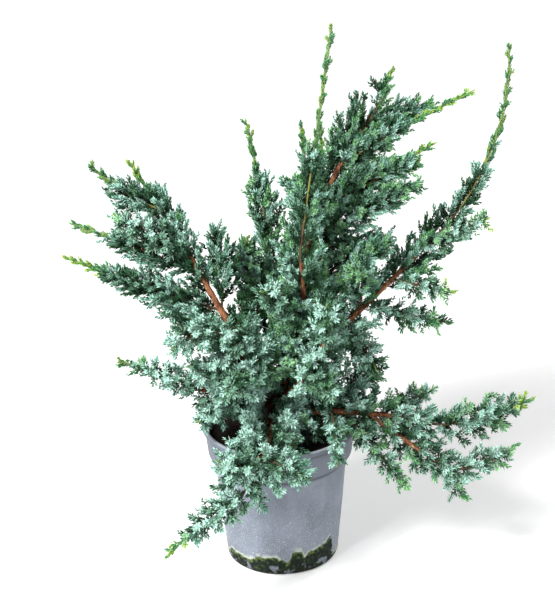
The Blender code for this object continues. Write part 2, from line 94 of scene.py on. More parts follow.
# %% [markdown]
# Writing a material as sums
#
# A finish such as dusty plastic is a few patterns added, scaled and mixed. In the node editor
# that is a web of Math nodes. A small class that stands for one socket, and turns each plus
# or minus into its node, lets the same web be read as a formula.

# %% A socket that can be added and multiplied
class Wire:
    def __init__(self, tree, socket):
        self.tree = tree
        self.socket = socket

    def maths(self, operation, *values):
        made = self.tree.nodes.new("ShaderNodeMath")
        made.operation = operation
        for value, entry in zip(values, made.inputs):
            if isinstance(value, Wire):
                self.tree.links.new(value.socket, entry)
            else:
                entry.default_value = value
        return Wire(self.tree, made.outputs[0])

    def __add__(self, other):
        return self.maths("ADD", self, other)

    def __radd__(self, other):
        return self.maths("ADD", other, self)

    def __sub__(self, other):
        return self.maths("SUBTRACT", self, other)

    def __rsub__(self, other):
        return self.maths("SUBTRACT", other, self)

    def __mul__(self, other):
        return self.maths("MULTIPLY", self, other)

    def __rmul__(self, other):
        return self.maths("MULTIPLY", other, self)

    def __truediv__(self, other):
        return self.maths("DIVIDE", self, other)

    def __pow__(self, other):
        return self.maths("POWER", self, other)

    def at_least(self, other):
        return self.maths("MAXIMUM", self, other)

    def at_most(self, other):
        return self.maths("MINIMUM", self, other)

    def ramp(self, low, high):
        """0 below low and 1 above high, easing between them. It falls where low is above high."""
        made = self.tree.nodes.new("ShaderNodeMapRange")
        made.interpolation_type = "SMOOTHSTEP"
        self.tree.links.new(self.socket, made.inputs["Value"])
        made.inputs["From Min"].default_value = min(low, high)
        made.inputs["From Max"].default_value = max(low, high)
        made.inputs["To Min"].default_value = 0 if low < high else 1
        made.inputs["To Max"].default_value = 1 if low < high else 0
        return Wire(self.tree, made.outputs["Result"])


# %% A finish with one method for every other node
class Finish:
    def __init__(self, name, roughness=0.6, specular=0.5):
        self.material = bpy.data.materials.new(name)
        self.material.use_nodes = True
        self.tree = self.material.node_tree
        self.shader = self.tree.nodes["Principled BSDF"]
        self.shader.inputs["Roughness"].default_value = roughness
        self.shader.inputs["Specular IOR Level"].default_value = specular

    def node(self, kind, settings=None, sockets=None, output=0):
        made = self.tree.nodes.new(kind)
        for name, value in (settings or {}).items():
            if name == "stops":
                stops = made.color_ramp.elements
                while len(stops) < len(value):
                    stops.new(0.5)
                for stop, (place, colour) in zip(stops, value):
                    stop.position = place
                    stop.color = (*colour, 1)
            else:
                setattr(made, name, value)
        for name, value in (sockets or {}).items():
            entry = made.inputs[name]
            if isinstance(value, Wire):
                self.tree.links.new(value.socket, entry)
            elif entry.type == "RGBA" and len(value) == 3:
                entry.default_value = (*value, 1)
            else:
                entry.default_value = value
        return Wire(self.tree, made.outputs[output])

    def place(self, scale=(1, 1, 1)):
        """The Object coordinates, stretched by scale."""
        raw = self.node("ShaderNodeTexCoord", output="Object")
        return self.node("ShaderNodeMapping", {}, {"Vector": raw, "Scale": scale})

    def xyz(self):
        raw = self.node("ShaderNodeTexCoord", output="Object")
        made = self.node("ShaderNodeSeparateXYZ", {}, {"Vector": raw})
        outputs = made.socket.node.outputs
        return [Wire(self.tree, outputs[k]) for k in range(3)]

    def noise(self, scale, detail=3, stretch=(1, 1, 1), roughness=0.5):
        sockets = {
            "Vector": self.place(stretch),
            "Scale": scale,
            "Detail": detail,
            "Roughness": roughness,
        }
        return self.node("ShaderNodeTexNoise", {}, sockets)

    def mix(self, share, one, other, blend="MIX"):
        settings = {"data_type": "RGBA", "blend_type": blend}
        return self.node("ShaderNodeMix", settings, {0: share, 6: one, 7: other}, output=2)

    def set(self, name, value):
        entry = self.shader.inputs[name]
        if isinstance(value, Wire):
            self.tree.links.new(value.socket, entry)
        elif entry.type == "RGBA":
            entry.default_value = (*value, 1)
        else:
            entry.default_value = value

    def bump(self, height, distance, strength=1.0):
        sockets = {"Height": height, "Distance": distance, "Strength": strength}
        self.set("Normal", self.node("ShaderNodeBump", {}, sockets))


print("shader helpers ready")

# %% [markdown]
# The pot's finish
#
# A used nursery pot is dark grey plastic under a film of pale dust. Rain draws the dust into
# streaks, lime leaves white specks, and moss climbs the foot with a pale crust at its edge.
# Thin dark lines under the collar's step and under the rim's lip are painted shadow, and the
# rim's top is painted paler as a highlight with some wear.
# A picture could carry this, but patterns worked out from the place on the pot stay sharp at
# any size and need no file.

# %% Dusty plastic
plastic = Finish("dusty_grey_plastic", roughness=0.62, specular=0.35)
pot_x, pot_y, pot_z = plastic.xyz()
streaks = plastic.noise(1, detail=4, stretch=(70, 70, 9))
clouds = plastic.noise(22, detail=4)
grain = plastic.noise(650, detail=2)
on_collar = pot_z.ramp(0.1385, 0.1405)
film = (streaks * 0.25 + clouds * 0.75).ramp(0.28, 0.72) * (1 - on_collar * 0.75)
body = plastic.mix(film, (0.142, 0.162, 0.200), (0.240, 0.274, 0.335))
salt = grain.ramp(0.50, 0.66) * (0.10 + 0.30 * pot_z.ramp(0.135, 0.040))
body = plastic.mix(salt, body, (0.480, 0.500, 0.540))
fleck_seed = plastic.noise(420, detail=1)
flecks = fleck_seed.ramp(0.715, 0.765) * pot_z.ramp(0.135, 0.050)
body = plastic.mix(flecks * 0.8, body, (0.72, 0.76, 0.76))
# Painted shadow: thin dark lines on the body just under the collar's step and on the collar just under the rim's
# lip, where the overhangs cast shade.
collar_step_painted_shadow = pot_z.ramp(0.1300, 0.1345) * pot_z.ramp(0.1404, 0.1398)
rim_lip_painted_shadow = pot_z.ramp(0.1665, 0.1705) * pot_z.ramp(0.1742, 0.1738)
body = plastic.mix(on_collar * 0.30, body, (0.085, 0.095, 0.118))
body = plastic.mix(collar_step_painted_shadow * 0.80 + rim_lip_painted_shadow * 0.45, body, (0.040, 0.044, 0.056))
# Painted highlight, partly wear: the rim's top face is mixed paler.
rim_top_highlight_and_wear = pot_z.ramp(0.1784, 0.1794)
body = plastic.mix(rim_top_highlight_and_wear * 0.5, body, (0.420, 0.440, 0.480))

# %% Moss at the pot's foot
ragged = plastic.noise(170, detail=4) - 0.5
lumps = plastic.noise(58, detail=3) - 0.5
middle_bank = (pot_x + 0.018).ramp(0.024, 0.004) * (pot_x + 0.018).ramp(-0.026, -0.006) * 0.0055
right_bank = pot_x.ramp(0.024, 0.032) * 0.0070
right_rise = (pot_x - 0.040).at_least(0) ** 2 * 30
island = pot_x.ramp(0.0080, 0.0120) * pot_x.ramp(0.0265, 0.0225) * 0.0115
front_edge = 0.0205 + pot_x * 0.05 + middle_bank + island + right_bank + right_rise
ragged_x = pot_x + ragged * 0.010
in_front = pot_y.ramp(-0.012, -0.024) * ragged_x.ramp(0.0610, 0.0585) * ragged_x.ramp(-0.0665, -0.0635)
behind_edge = 0.0060 + lumps * 0.040
moss_edge = front_edge * in_front + behind_edge * (1 - in_front)
above_edge = pot_z - moss_edge + ragged * 0.010 + lumps * 0.010
moss_share = above_edge.ramp(0.0006, -0.0006)
crust_seed = plastic.noise(120, detail=3)
crust_share = above_edge.ramp(-0.0004, 0.0006) * above_edge.ramp(0.0060, 0.0018) * crust_seed.ramp(0.34, 0.52)
body = plastic.mix(crust_share * 0.80, body, (0.500, 0.530, 0.450))
moss_tone = plastic.noise(240, detail=4)
depth = above_edge.ramp(0.0005, -0.0085)
moss_light = (moss_tone - depth * 0.22).ramp(0.15, 0.64)
moss_stops = [(0.10, (0.004, 0.007, 0.005)), (0.50, (0.016, 0.034, 0.010)), (0.90, (0.105, 0.150, 0.034))]
moss_colour = plastic.node("ShaderNodeValToRGB", {"stops": moss_stops}, {"Fac": moss_light})
bare_seed = plastic.noise(62, detail=4)
bare_share = bare_seed.ramp(0.53, 0.57) * pot_z.ramp(0.0150, 0.0110)
moss_here = moss_share * (1 - bare_share * 0.92)
dirt = plastic.noise(90, detail=4).ramp(0.42, 0.60) * pot_z.ramp(0.0120, 0.0030)
body = plastic.mix(dirt * 0.75, body, (0.050, 0.055, 0.048))
plastic.set("Base Color", plastic.mix(moss_here, body, moss_colour))
plastic.set("Roughness", 0.60 + moss_share * 0.3)
plastic.bump(grain * 0.20 + moss_here * moss_tone * 2.4 + crust_share * 0.7, 0.0007)
print("pot finish:", plastic.material.name)

# %% [markdown]
# The pot
#
# A blow-moulded pot is a round thing: one wall, a collar that stands out a little, a rolled
# rim and a flat foot with drain holes. Its outline is written once as pairs of radius and
# height, and turning it round the upright axis gives every ring at once.

# %% Turn the pot
POT_HEIGHT = 0.180
RIM_RADIUS = 0.095
RIM_DEPTH = 0.006
COLLAR_TOP_RADIUS = 0.0915
COLLAR_FOOT_RADIUS = 0.0880
COLLAR_FOOT = 0.140
BODY_TOP_RADIUS = 0.0815
BODY_FOOT_RADIUS = 0.0680
CORNER_RADIUS = 0.005
POT_WALL = 0.0016
COMPOST_TOP = 0.160
POT_SIDES = 144


def rounded(corners, steps=4):
    """The outline of (radius, height, rounding) corners, with a small arc at each that has rounding."""
    made = [corners[0][:2]]
    for before, corner, after in zip(corners, corners[1:], corners[2:]):
        here = Vector(corner[:2])
        back = Vector(before[:2]) - here
        on = Vector(after[:2]) - here
        reach = min(corner[2], back.length * 0.45, on.length * 0.45)
        start = here + back.normalized() * reach
        end = here + on.normalized() * reach
        for k in range(steps + 1):
            share = k / steps
            made.append(tuple(start.lerp(here, share).lerp(here.lerp(end, share), share)))
    made.append(corners[-1][:2])
    return made


def lathe(name, outline, sides, wobble=0.0):
    """A closed solid turned round the Z axis from an outline that starts and ends on the axis."""
    bm = bmesh.new()
    rings = []
    for radius, height in outline:
        if radius < 1e-6:
            rings.append([bm.verts.new((0, 0, height))])
            continue
        ring = []
        for k in range(sides):
            angle = 2 * math.pi * k / sides
            lump = noise.noise(Vector((math.cos(angle) * 2, math.sin(angle) * 2, height * 12)))
            out = radius + wobble * lump
            ring.append(bm.verts.new((out * math.cos(angle), out * math.sin(angle), height)))
        rings.append(ring)
    for one, other in zip(rings, rings[1:]):
        for k in range(sides):
            corners = [one[k % len(one)], one[(k + 1) % len(one)]]
            corners += [other[(k + 1) % len(other)], other[k % len(other)]]
            bm.faces.new(list(dict.fromkeys(corners)))
    bmesh.ops.recalc_face_normals(bm, faces=bm.faces)
    mesh = bpy.data.meshes.new(name)
    bm.to_mesh(mesh)
    bm.free()
    mesh.shade_smooth()
    made = bpy.data.objects.new(name, mesh)
    bpy.context.scene.collection.objects.link(made)
    return made


lip = POT_HEIGHT - RIM_DEPTH
wall_foot = BODY_FOOT_RADIUS - POT_WALL
pot_outline = [
    (0, POT_WALL, 0),
    (wall_foot - 0.003, POT_WALL, 0.001),
    (wall_foot, CORNER_RADIUS, 0.001),
    (BODY_TOP_RADIUS - POT_WALL, COLLAR_FOOT, 0.001),
    (COLLAR_FOOT_RADIUS - POT_WALL, COLLAR_FOOT + 0.003, 0.001),
    (COLLAR_TOP_RADIUS - POT_WALL, POT_HEIGHT - 0.002, 0.001),
    (COLLAR_TOP_RADIUS - 0.0004, POT_HEIGHT, 0.001),
    (RIM_RADIUS, POT_HEIGHT, 0.0022),
    (RIM_RADIUS, lip, 0.0016),
    (COLLAR_TOP_RADIUS, lip - 0.0004, 0.0006),
    (COLLAR_FOOT_RADIUS, COLLAR_FOOT + 0.0006, 0.0008),
    (BODY_TOP_RADIUS, COLLAR_FOOT - 0.0004, 0.0005),
    (0.0755, 0.0750, 0.004),
    (BODY_FOOT_RADIUS, 0, CORNER_RADIUS),
    (0.060, 0, 0.001),
    (0, 0, 0),
]
pot = lathe("pot_shell", rounded(pot_outline), POT_SIDES, wobble=0.0003)
pot.data.materials.append(plastic.material)
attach(pot, "root")
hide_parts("pot")
print("pot faces:", len(pot.data.polygons))

# %% [markdown]
# The compost
#
# The pot is filled with dark compost, with coarse bark on top. The filling is one lumpy solid,
# because only its top shows. The chips are one rough shape scattered over that top by
# Geometry Nodes, each turned and sized at random, which is quicker than placing hundreds by hand.

# %% Compost and chip finishes
earth = Finish("damp_compost", roughness=0.95, specular=0.2)
crumbs = earth.noise(420, detail=5)
earth_stops = [(0.30, (0.003, 0.002, 0.002)), (0.55, (0.008, 0.006, 0.005)), (0.80, (0.026, 0.020, 0.015))]
earth.set("Base Color", earth.node("ShaderNodeValToRGB", {"stops": earth_stops}, {"Fac": crumbs}))
earth.bump(crumbs, 0.002)

chip_finish = Finish("bark_chip", roughness=0.9, specular=0.2)
chip_grain = chip_finish.noise(160, detail=4)
chip_stops = [(0.30, (0.006, 0.004, 0.003)), (0.52, (0.017, 0.011, 0.008)), (0.75, (0.060, 0.036, 0.024))]
chip_colour = chip_finish.node("ShaderNodeValToRGB", {"stops": chip_stops}, {"Fac": chip_grain})
chip_finish.set("Base Color", chip_colour)
chip_finish.bump(chip_grain, 0.001)


# %% A Geometry Nodes tree in a few lines
class Grower:
    """A node tree for a modifier. Its named inputs become the modifier's own fields."""

    def __init__(self, name, inputs):
        self.tree = bpy.data.node_groups.new(name, "GeometryNodeTree")
        face = self.tree.interface
        face.new_socket("Geometry", in_out="INPUT", socket_type="NodeSocketGeometry")
        face.new_socket("Geometry", in_out="OUTPUT", socket_type="NodeSocketGeometry")
        self.sockets = {}
        for label, kind, value in inputs:
            made = face.new_socket(label, in_out="INPUT", socket_type="NodeSocket" + kind)
            if kind in ("Float", "Int"):
                made.default_value = value
            self.sockets[label] = made.identifier
        self.start = self.tree.nodes.new("NodeGroupInput")
        self.end = self.tree.nodes.new("NodeGroupOutput")

    def given(self, label):
        return self.start.outputs[label]

    def node(self, kind, settings=None, sockets=None):
        """Adds a node. Sockets are named, and a name shared by several means the one in use."""
        made = self.tree.nodes.new(kind)
        for name, value in (settings or {}).items():
            setattr(made, name, value)
        for name, value in (sockets or {}).items():
            entry = [s for s in made.inputs if s.enabled and s.name == name]
            entry = entry[0] if entry else made.inputs[name]
            if isinstance(value, bpy.types.NodeSocket):
                self.tree.links.new(value, entry)
            else:
                entry.default_value = value
        return made

    def out(self, node, name=None):
        live = [s for s in node.outputs if s.enabled and (name is None or s.name == name)]
        return live[0]

    def attribute(self, name, kind="FLOAT"):
        made = self.node("GeometryNodeInputNamedAttribute", {"data_type": kind}, {"Name": name})
        return self.out(made, "Attribute")

    def chance(self, low, high, seed):
        sockets = {"Min": low, "Max": high, "Seed": seed}
        return self.out(self.node("FunctionNodeRandomValue", {"data_type": "FLOAT"}, sockets))

    def maths(self, operation, one, other):
        made = self.node("ShaderNodeMath", {"operation": operation})
        for value, entry in zip((one, other), made.inputs):
            if isinstance(value, bpy.types.NodeSocket):
                self.tree.links.new(value, entry)
            else:
                entry.default_value = value
        return made.outputs[0]

    def turn(self, axis, angle):
        made = self.node("FunctionNodeAxisAngleToRotation", {}, {"Axis": axis, "Angle": angle})
        return self.out(made)

    def turned(self, rotation, by):
        sockets = {"Rotation": rotation, "Rotate By": by}
        made = self.node("FunctionNodeRotateRotation", {"rotation_space": "LOCAL"}, sockets)
        return self.out(made)

    def finish(self, geometry):
        self.tree.links.new(geometry, self.end.inputs[0])

    def run(self, piece, values, name):
        """The plain mesh that the tree makes from piece, as a new object. Piece is deleted."""
        step = piece.modifiers.new("Grow", "NODES")
        step.node_group = self.tree
        for label, value in values.items():
            step[self.sockets[label]] = value
        graph = bpy.context.evaluated_depsgraph_get()
        mesh = bpy.data.meshes.new_from_object(piece.evaluated_get(graph))
        bpy.data.objects.remove(piece)
        for spare in [a.name for a in mesh.attributes if a.name in SPARE_ATTRIBUTES]:
            mesh.attributes.remove(mesh.attributes[spare])
        mesh.name = name
        made = bpy.data.objects.new(name, mesh)
        bpy.context.scene.collection.objects.link(made)
        return made


SPARE_ATTRIBUTES = ("girth", "open", "reach", "turn", "pale_face", "up_the_wood", "id")
print("grower ready")


# %% Shape the compost and one chip
inner_top = COLLAR_FOOT_RADIUS - POT_WALL + 0.0008
compost_outline = [
    (0, COMPOST_TOP, 0),
    (0.030, COMPOST_TOP + 0.0006, 0.002),
    (0.050, COMPOST_TOP - 0.0004, 0.002),
    (0.070, COMPOST_TOP, 0.002),
    (inner_top - 0.0012, COMPOST_TOP - 0.002, 0.001),
    (COLLAR_FOOT_RADIUS - POT_WALL - 0.0012, COLLAR_FOOT + 0.005, 0.001),
    (BODY_TOP_RADIUS - POT_WALL - 0.0010, COLLAR_FOOT - 0.001, 0.001),
    (wall_foot - 0.0012, CORNER_RADIUS + 0.001, 0.001),
    (wall_foot - 0.004, POT_WALL + 0.0004, 0.001),
    (0, POT_WALL + 0.0004, 0),
]
compost = lathe("compost_filling", rounded(compost_outline), 72)
compost.data.materials.append(earth.material)

chip_shape = bpy.data.meshes.new("chip_shape")
bm = bmesh.new()
bmesh.ops.create_icosphere(bm, subdivisions=1, radius=1)
for corner in bm.verts:
    corner.co.x *= 1.0 + 0.35 * noise.noise(corner.co * 3)
    corner.co.y *= 0.55 + 0.30 * noise.noise(corner.co * 5)
    corner.co.z *= 0.28
bm.to_mesh(chip_shape)
bm.free()
chip = bpy.data.objects.new("chip_shape", chip_shape)

# %% Scatter the chips
scatter = Grower("scatter_chips", [
    ("Chip", "Object", None),
    ("Density", "Float", 1),
    ("Smallest", "Float", 1),
    ("Largest", "Float", 1),
    ("Farthest", "Float", 1),
    ("Finish", "Material", None),
    ("Seed", "Int", 0),
])
facing = scatter.node("GeometryNodeInputNormal")
upward = scatter.node("ShaderNodeSeparateXYZ", {}, {"Vector": scatter.out(facing)})
level = scatter.maths("GREATER_THAN", upward.outputs[2], 0.9)
spot = scatter.node("GeometryNodeInputPosition")
flat = scatter.node("ShaderNodeVectorMath", {"operation": "MULTIPLY"}, {"Vector": scatter.out(spot)})
flat.inputs[1].default_value = (1, 1, 0)
away = scatter.node("ShaderNodeVectorMath", {"operation": "LENGTH"}, {"Vector": scatter.out(flat)})
within = scatter.maths("LESS_THAN", scatter.out(away), scatter.given("Farthest"))
spread = scatter.node("GeometryNodeDistributePointsOnFaces", {}, {
    "Mesh": scatter.given("Geometry"),
    "Selection": scatter.maths("MULTIPLY", level, within),
    "Density": scatter.given("Density"),
    "Seed": scatter.given("Seed"),
})
size = scatter.chance(scatter.given("Smallest"), scatter.given("Largest"), 3)
heading = scatter.turn((0, 0, 1), scatter.chance(0, 2 * math.pi, 5))
tilt = scatter.turn((1, 0.4, 0), scatter.chance(-0.5, 0.5, 7))
chip_info = scatter.node("GeometryNodeObjectInfo", {}, {"Object": scatter.given("Chip")})
placed = scatter.node("GeometryNodeInstanceOnPoints", {}, {
    "Points": scatter.out(spread, "Points"),
    "Instance": scatter.out(chip_info, "Geometry"),
    "Rotation": scatter.turned(heading, tilt),
    "Scale": size,
})
real = scatter.node("GeometryNodeRealizeInstances", {}, {"Geometry": scatter.out(placed)})
painted = scatter.node("GeometryNodeSetMaterial", {}, {
    "Geometry": scatter.out(real),
    "Material": scatter.given("Finish"),
})
scatter.finish(scatter.out(painted))

ground = bpy.data.objects.new("chip_ground", compost.data.copy())
bpy.context.scene.collection.objects.link(ground)
chip_sizes = {"Chip": chip, "Density": 26000.0, "Smallest": 0.0016, "Largest": 0.0050}
chip_sizes |= {"Farthest": 0.082, "Finish": chip_finish.material, "Seed": 4}
chips = scatter.run(ground, chip_sizes, "bark_chips")
for piece in (compost, chips):
    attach(piece, "root")
    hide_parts("compost")
print("chip faces:", len(chips.data.polygons))

# %% [markdown]
# The rows of the plant
#
# The CAD source grows the plant from two short tables, and this script repeats them so that
# each twig lies where its solid is. A limb or a plume leaves its parent at a share of the
# parent's length, sets off on a heading and a climb in degrees, and swings and lifts evenly on its way.
# Reach is how far the needles stand out from a plume's stem, and whip is the thin share of its tip.

# %% Limbs and plumes
Limb = namedtuple("Limb", "name parent at heading climb swing lift length foot tip")
Plume = namedtuple(
    "Plume", "name limb at heading climb swing lift length reach whip zone habit lime"
)

LIMBS = [
    Limb("left_limb", "trunk", 0.62, -174, 66, -40, -8, 0.259, 0.0050, 0.0026),
    Limb("upper_limb", "trunk", 1, 100, 70, -100, -16, 0.348, 0.0055, 0.0022),
    Limb("right_limb", "trunk", 0.90, -10, 51, 36, -15, 0.266, 0.0042, 0.0024),
    Limb("leader_limb", "trunk", 0.80, -60, 51, 18, 48, 0.205, 0.0036, 0.0022),
    Limb("lower_right_limb", "trunk", 0.30, -25, 22, 34, -44, 0.212, 0.0042, 0.0023),
    Limb("lower_right_arm", "lower_right_limb", 0.64, -19, -36, 3, 6, 0.109, 0.0026, 0.0020),
    Limb("drooping_limb", "trunk", 0.16, -59, 47, -80, -104, 0.167, 0.0040, 0.0023),
    Limb("lower_left_limb", "trunk", 0.26, -137, 56, -13, -35, 0.112, 0.0038, 0.0023),
    Limb("left_bank_limb", "trunk", 0.44, -83, 55, -71, 2, 0.153, 0.0036, 0.0022),
    Limb("front_limb", "trunk", 0.56, -50, 33, -1, 33, 0.162, 0.0036, 0.0022),
    Limb("back_limb", "trunk", 0.74, 63, 28, 61, 32, 0.175, 0.0044, 0.0023),
    Limb("rear_limb", "trunk", 0.42, 100, 32, -12, 14, 0.135, 0.0042, 0.0023),
]

PLUMES = [
    Plume("left_crest", "left_limb", 1, 174, 19, 16, 32, 0.120, 0.031, 0.38, "left", "plume", 0),
    Plume("left_spire", "left_limb", 0.90, 118, 37, 75, 29, 0.115, 0.027, 0.45, "left", "plume", 0.35),
    Plume("left_fringe", "left_limb", 0.84, -154, 38, -15, -4, 0.108, 0.029, 0, "left", "rosette", 0),
    Plume("left_sweep", "left_limb", 0.72, 153, 14, 21, 6, 0.168, 0.027, 0.30, "left", "plume", 0),
    Plume("left_shoulder", "left_limb", 0.52, 67, 64, 62, 4, 0.094, 0.028, 0, "left", "plume", 0),
    Plume("left_streamer", "left_limb", 0.52, -167, 25, -11, 1, 0.202, 0.031, 0.25, "left", "plume", 0.3),
    Plume("left_bank", "left_bank_limb", 1, -135, 61, -41, -110, 0.093, 0.034, 0, "front", "rosette", 0),
    Plume("centre_left", "left_bank_limb", 0.55, -98, 34, -27, -37, 0.097, 0.034, 0, "front", "rosette", 0),
    Plume("lower_left_tail", "lower_left_limb", 1, -145, 46, -23, -27, 0.121, 0.024, 0.12, "front", "rosette", 0),
    Plume("lower_left_bank", "lower_left_limb", 0.72, -75, 65, -85, -44, 0.102, 0.031, 0, "front", "rosette", 0),
    Plume("lower_left_apron", "lower_left_limb", 0.60, -124, -20, -25, 15, 0.056, 0.027, 0, "front", "rosette", 0),
    Plume("drooping_tail", "drooping_limb", 1, -114, 13, -62, -61, 0.134, 0.029, 0.22, "front", "rosette", 0.25),
    Plume("drooping_bank", "drooping_limb", 0.82, -101, 14, -72, 23, 0.072, 0.031, 0, "front", "rosette", 0),
    Plume("drooping_fringe", "drooping_limb", 0.76, -72, 30, 74, -70, 0.078, 0.030, 0, "front", "rosette", 0),
    Plume("centre_front", "front_limb", 1, -93, 45, 6, 28, 0.075, 0.034, 0, "front", "rosette", 0),
    Plume("centre_low", "front_limb", 0.62, -65, 28, -6, -51, 0.072, 0.029, 0, "front", "rosette", 0),
    Plume("centre_right", "right_limb", 0.36, -56, 24, 9, -77, 0.082, 0.034, 0, "front", "rosette", 0),
    Plume("centre_heart", "leader_limb", 0.60, -106, 57, -40, -26, 0.107, 0.034, 0, "front", "rosette", 0),
    Plume("upper_left_bank", "upper_limb", 0.53, -84, 51, -90, 22, 0.096, 0.027, 0, "top", "plume", 0),
    Plume("left_tower", "back_limb", 0.62, 154, 42, 110, 44, 0.122, 0.031, 0.10, "back", "plume", 0),
    Plume("left_leader", "back_limb", 1, 177, 86, -22, -8, 0.188, 0.031, 0.42, "back", "plume", 0.25),
    Plume("back_whip", "back_limb", 0.88, 18, 38, 70, 56, 0.200, 0.027, 0.30, "back", "plume", 0.35),
    Plume("back_plume", "back_limb", 0.66, 60, 20, 20, 50, 0.120, 0.036, 0, "back", "plume", 0),
    Plume("rear_left_plume", "rear_limb", 0.60, 170, 14, -10, 24, 0.120, 0.036, 0, "back", "plume", 0),
    Plume("rear_right_plume", "rear_limb", 0.66, 20, 14, 12, 24, 0.130, 0.036, 0, "back", "plume", 0),
    Plume("rear_low_plume", "rear_limb", 1, 75, 10, 0, -60, 0.080, 0.036, 0, "back", "rosette", 0),
    Plume("front_leader", "leader_limb", 1, 33, 80, -37, 2, 0.294, 0.027, 0.50, "top", "plume", 0),
    Plume("crown_tuft", "upper_limb", 1, 50, 76, -40, -16, 0.061, 0.018, 0.35, "top", "plume", 0.12),
    Plume("crown_fan", "upper_limb", 0.90, 1, 38, -1, -28, 0.100, 0.024, 0.05, "top", "plume", 0),
    Plume("golden_whip", "upper_limb", 0.78, -36, 42, 36, -15, 0.203, 0.023, 0.45, "top", "plume", 0.45),
    Plume("upper_right_first", "upper_limb", 0.66, -29, 35, 38, -11, 0.157, 0.027, 0.35, "top", "plume", 0.3),
    Plume("upper_right_second", "upper_limb", 0.58, -47, 46, 44, -21, 0.169, 0.029, 0, "top", "plume", 0),
    Plume("upper_right_third", "upper_limb", 0.48, -50, 45, 42, -18, 0.186, 0.030, 0, "top", "plume", 0),
    Plume("upper_right_fifth", "upper_limb", 0.30, -50, 49, 49, -24, 0.157, 0.030, 0, "top", "plume", 0),
    Plume("right_leader", "right_limb", 1, 4, 48, 5, 45, 0.261, 0.020, 0.50, "right", "plume", 0),
    Plume("right_front", "right_limb", 0.92, -30, 38, 24, -14, 0.092, 0.022, 0, "right", "rosette", 0.12),
    Plume("right_shelf", "right_limb", 0.72, -53, 11, 63, -31, 0.082, 0.022, 0.12, "right", "rosette", 0.2),
    Plume("right_low", "right_limb", 0.58, 10, -36, 1, 27, 0.108, 0.024, 0.10, "right", "rosette", 0),
    Plume("right_mid", "right_limb", 0.50, -53, 70, -71, -17, 0.090, 0.029, 0, "right", "plume", 0),
    Plume("right_tail", "lower_right_limb", 1, -5, 9, 7, 15, 0.129, 0.034, 0.13, "right", "rosette", 0.25),
    Plume("right_hump", "lower_right_limb", 0.72, 63, -6, -86, 43, 0.074, 0.022, 0, "right", "rosette", 0),
    Plume("right_skirt", "lower_right_limb", 0.50, -28, -43, -6, -5, 0.118, 0.024, 0.05, "right", "rosette", 0),
    Plume("right_bank", "lower_right_limb", 0.33, 14, 40, 10, -22, 0.088, 0.036, 0, "right", "rosette", 0),
    Plume("right_fork_tail", "lower_right_arm", 1, -11, 12, -5, 26, 0.094, 0.027, 0.08, "right", "rosette", 0),
    Plume("right_fork_drop", "lower_right_arm", 0.90, -12, -50, -14, -4, 0.056, 0.019, 0.05, "right", "rosette", 0),
]
print("limbs:", len(LIMBS), "plumes:", len(PLUMES))

# %% The path of a shoot
GAP = 0.0003
POINT_STEP = 0.003
LIMB_POINT_STEP = 0.030
FOOT_STEP = 0.002
BLEND = 0.018
TRUNK_FOOT = (-0.026, 0, COMPOST_TOP + GAP)
TRUNK_CUT = 0.004
TRUNK_FLARE = 0.011
TRUNK_RADIUS = 0.0078
TRUNK_FORK_RADIUS = 0.0062
TRUNK_LENGTH = 0.078
GOLDEN_ANGLE = math.radians(137.5)
SEED = 11


def unit(v):
    return v / np.linalg.norm(v)


def shoot_path(base, row, lead=None):
    """Points that set off on the row's heading and climb and turn evenly along its length."""
    steps = max(6, round(row.length / POINT_STEP))
    share = (np.arange(steps) + 0.5) / steps
    heading = np.radians(row.heading + row.swing * share)
    climb = np.radians(row.climb + row.lift * share)
    level = np.cos(climb)
    course = np.stack([level * np.cos(heading), level * np.sin(heading), np.sin(climb)], 1)
    if lead is not None:
        own = np.clip((share * row.length - POINT_STEP) / BLEND, 0, 1)[:, None]
        course = lead * (1 - own) + course * own
        course /= np.linalg.norm(course, axis=1)[:, None]
    return np.vstack([base, base + np.cumsum(course * row.length / steps, 0)])


def lengths_along(path):
    return np.r_[0, np.cumsum(np.linalg.norm(np.diff(path, axis=0), axis=1))]


def point_at(path, distance):
    along = lengths_along(path)
    return np.array([np.interp(distance, along, path[:, k]) for k in range(3)])


def end_course(path):
    return unit(path[-1] - path[-2])


def thinned(path, step):
    total = lengths_along(path)[-1]
    even = list(np.linspace(0, total, max(3, round(total / step) + 1)))
    return np.array([point_at(path, d) for d in [0, FOOT_STEP] + even[1:]])


def trunk_radius(distance):
    flare = (TRUNK_FLARE - TRUNK_RADIUS) * math.exp(-distance / 0.007)
    taper = (TRUNK_RADIUS - TRUNK_FORK_RADIUS) * distance / TRUNK_LENGTH
    return TRUNK_RADIUS + flare - taper


# %% Lay out the wood
trunk_row = Limb("trunk", None, 0, 0, 78, 4, -36, TRUNK_LENGTH, 0, 0)
trunk_foot = np.array(TRUNK_FOOT)
trunk_path = np.vstack([trunk_foot, shoot_path(trunk_foot + (0, 0, TRUNK_CUT), trunk_row)])
shown = [0, 1, 3, 6, 11, 18, len(trunk_path) - 1]
trunk_radii = np.array([trunk_radius(d) for d in lengths_along(trunk_path)])
wood = {"trunk": (trunk_path[shown], trunk_radii[shown])}
for row in LIMBS:
    parent = wood[row.parent][0]
    base = point_at(parent, row.at * lengths_along(parent)[-1])
    lead = end_course(parent) if row.at == 1 else None
    knots = thinned(shoot_path(base, row, lead), LIMB_POINT_STEP)
    along = lengths_along(knots)
    wood[row.name] = (knots, row.foot + (row.tip - row.foot) * along / along[-1])
wood_length = sum(lengths_along(path)[-1] for path, radii in wood.values())
print("wood, metres:", round(wood_length, 3))

# %% [markdown]
# Bark
#
# Juniper bark is thin, red-brown, and peels in long strips that show an orange layer below.
# Each limb is lofted: rings of points stand along its line, and noise that is stretched along
# the limb pushes them in and out, which gives ridges that run with the wood. The loose flakes are
# scattered over it by Geometry Nodes and lie along the grain.

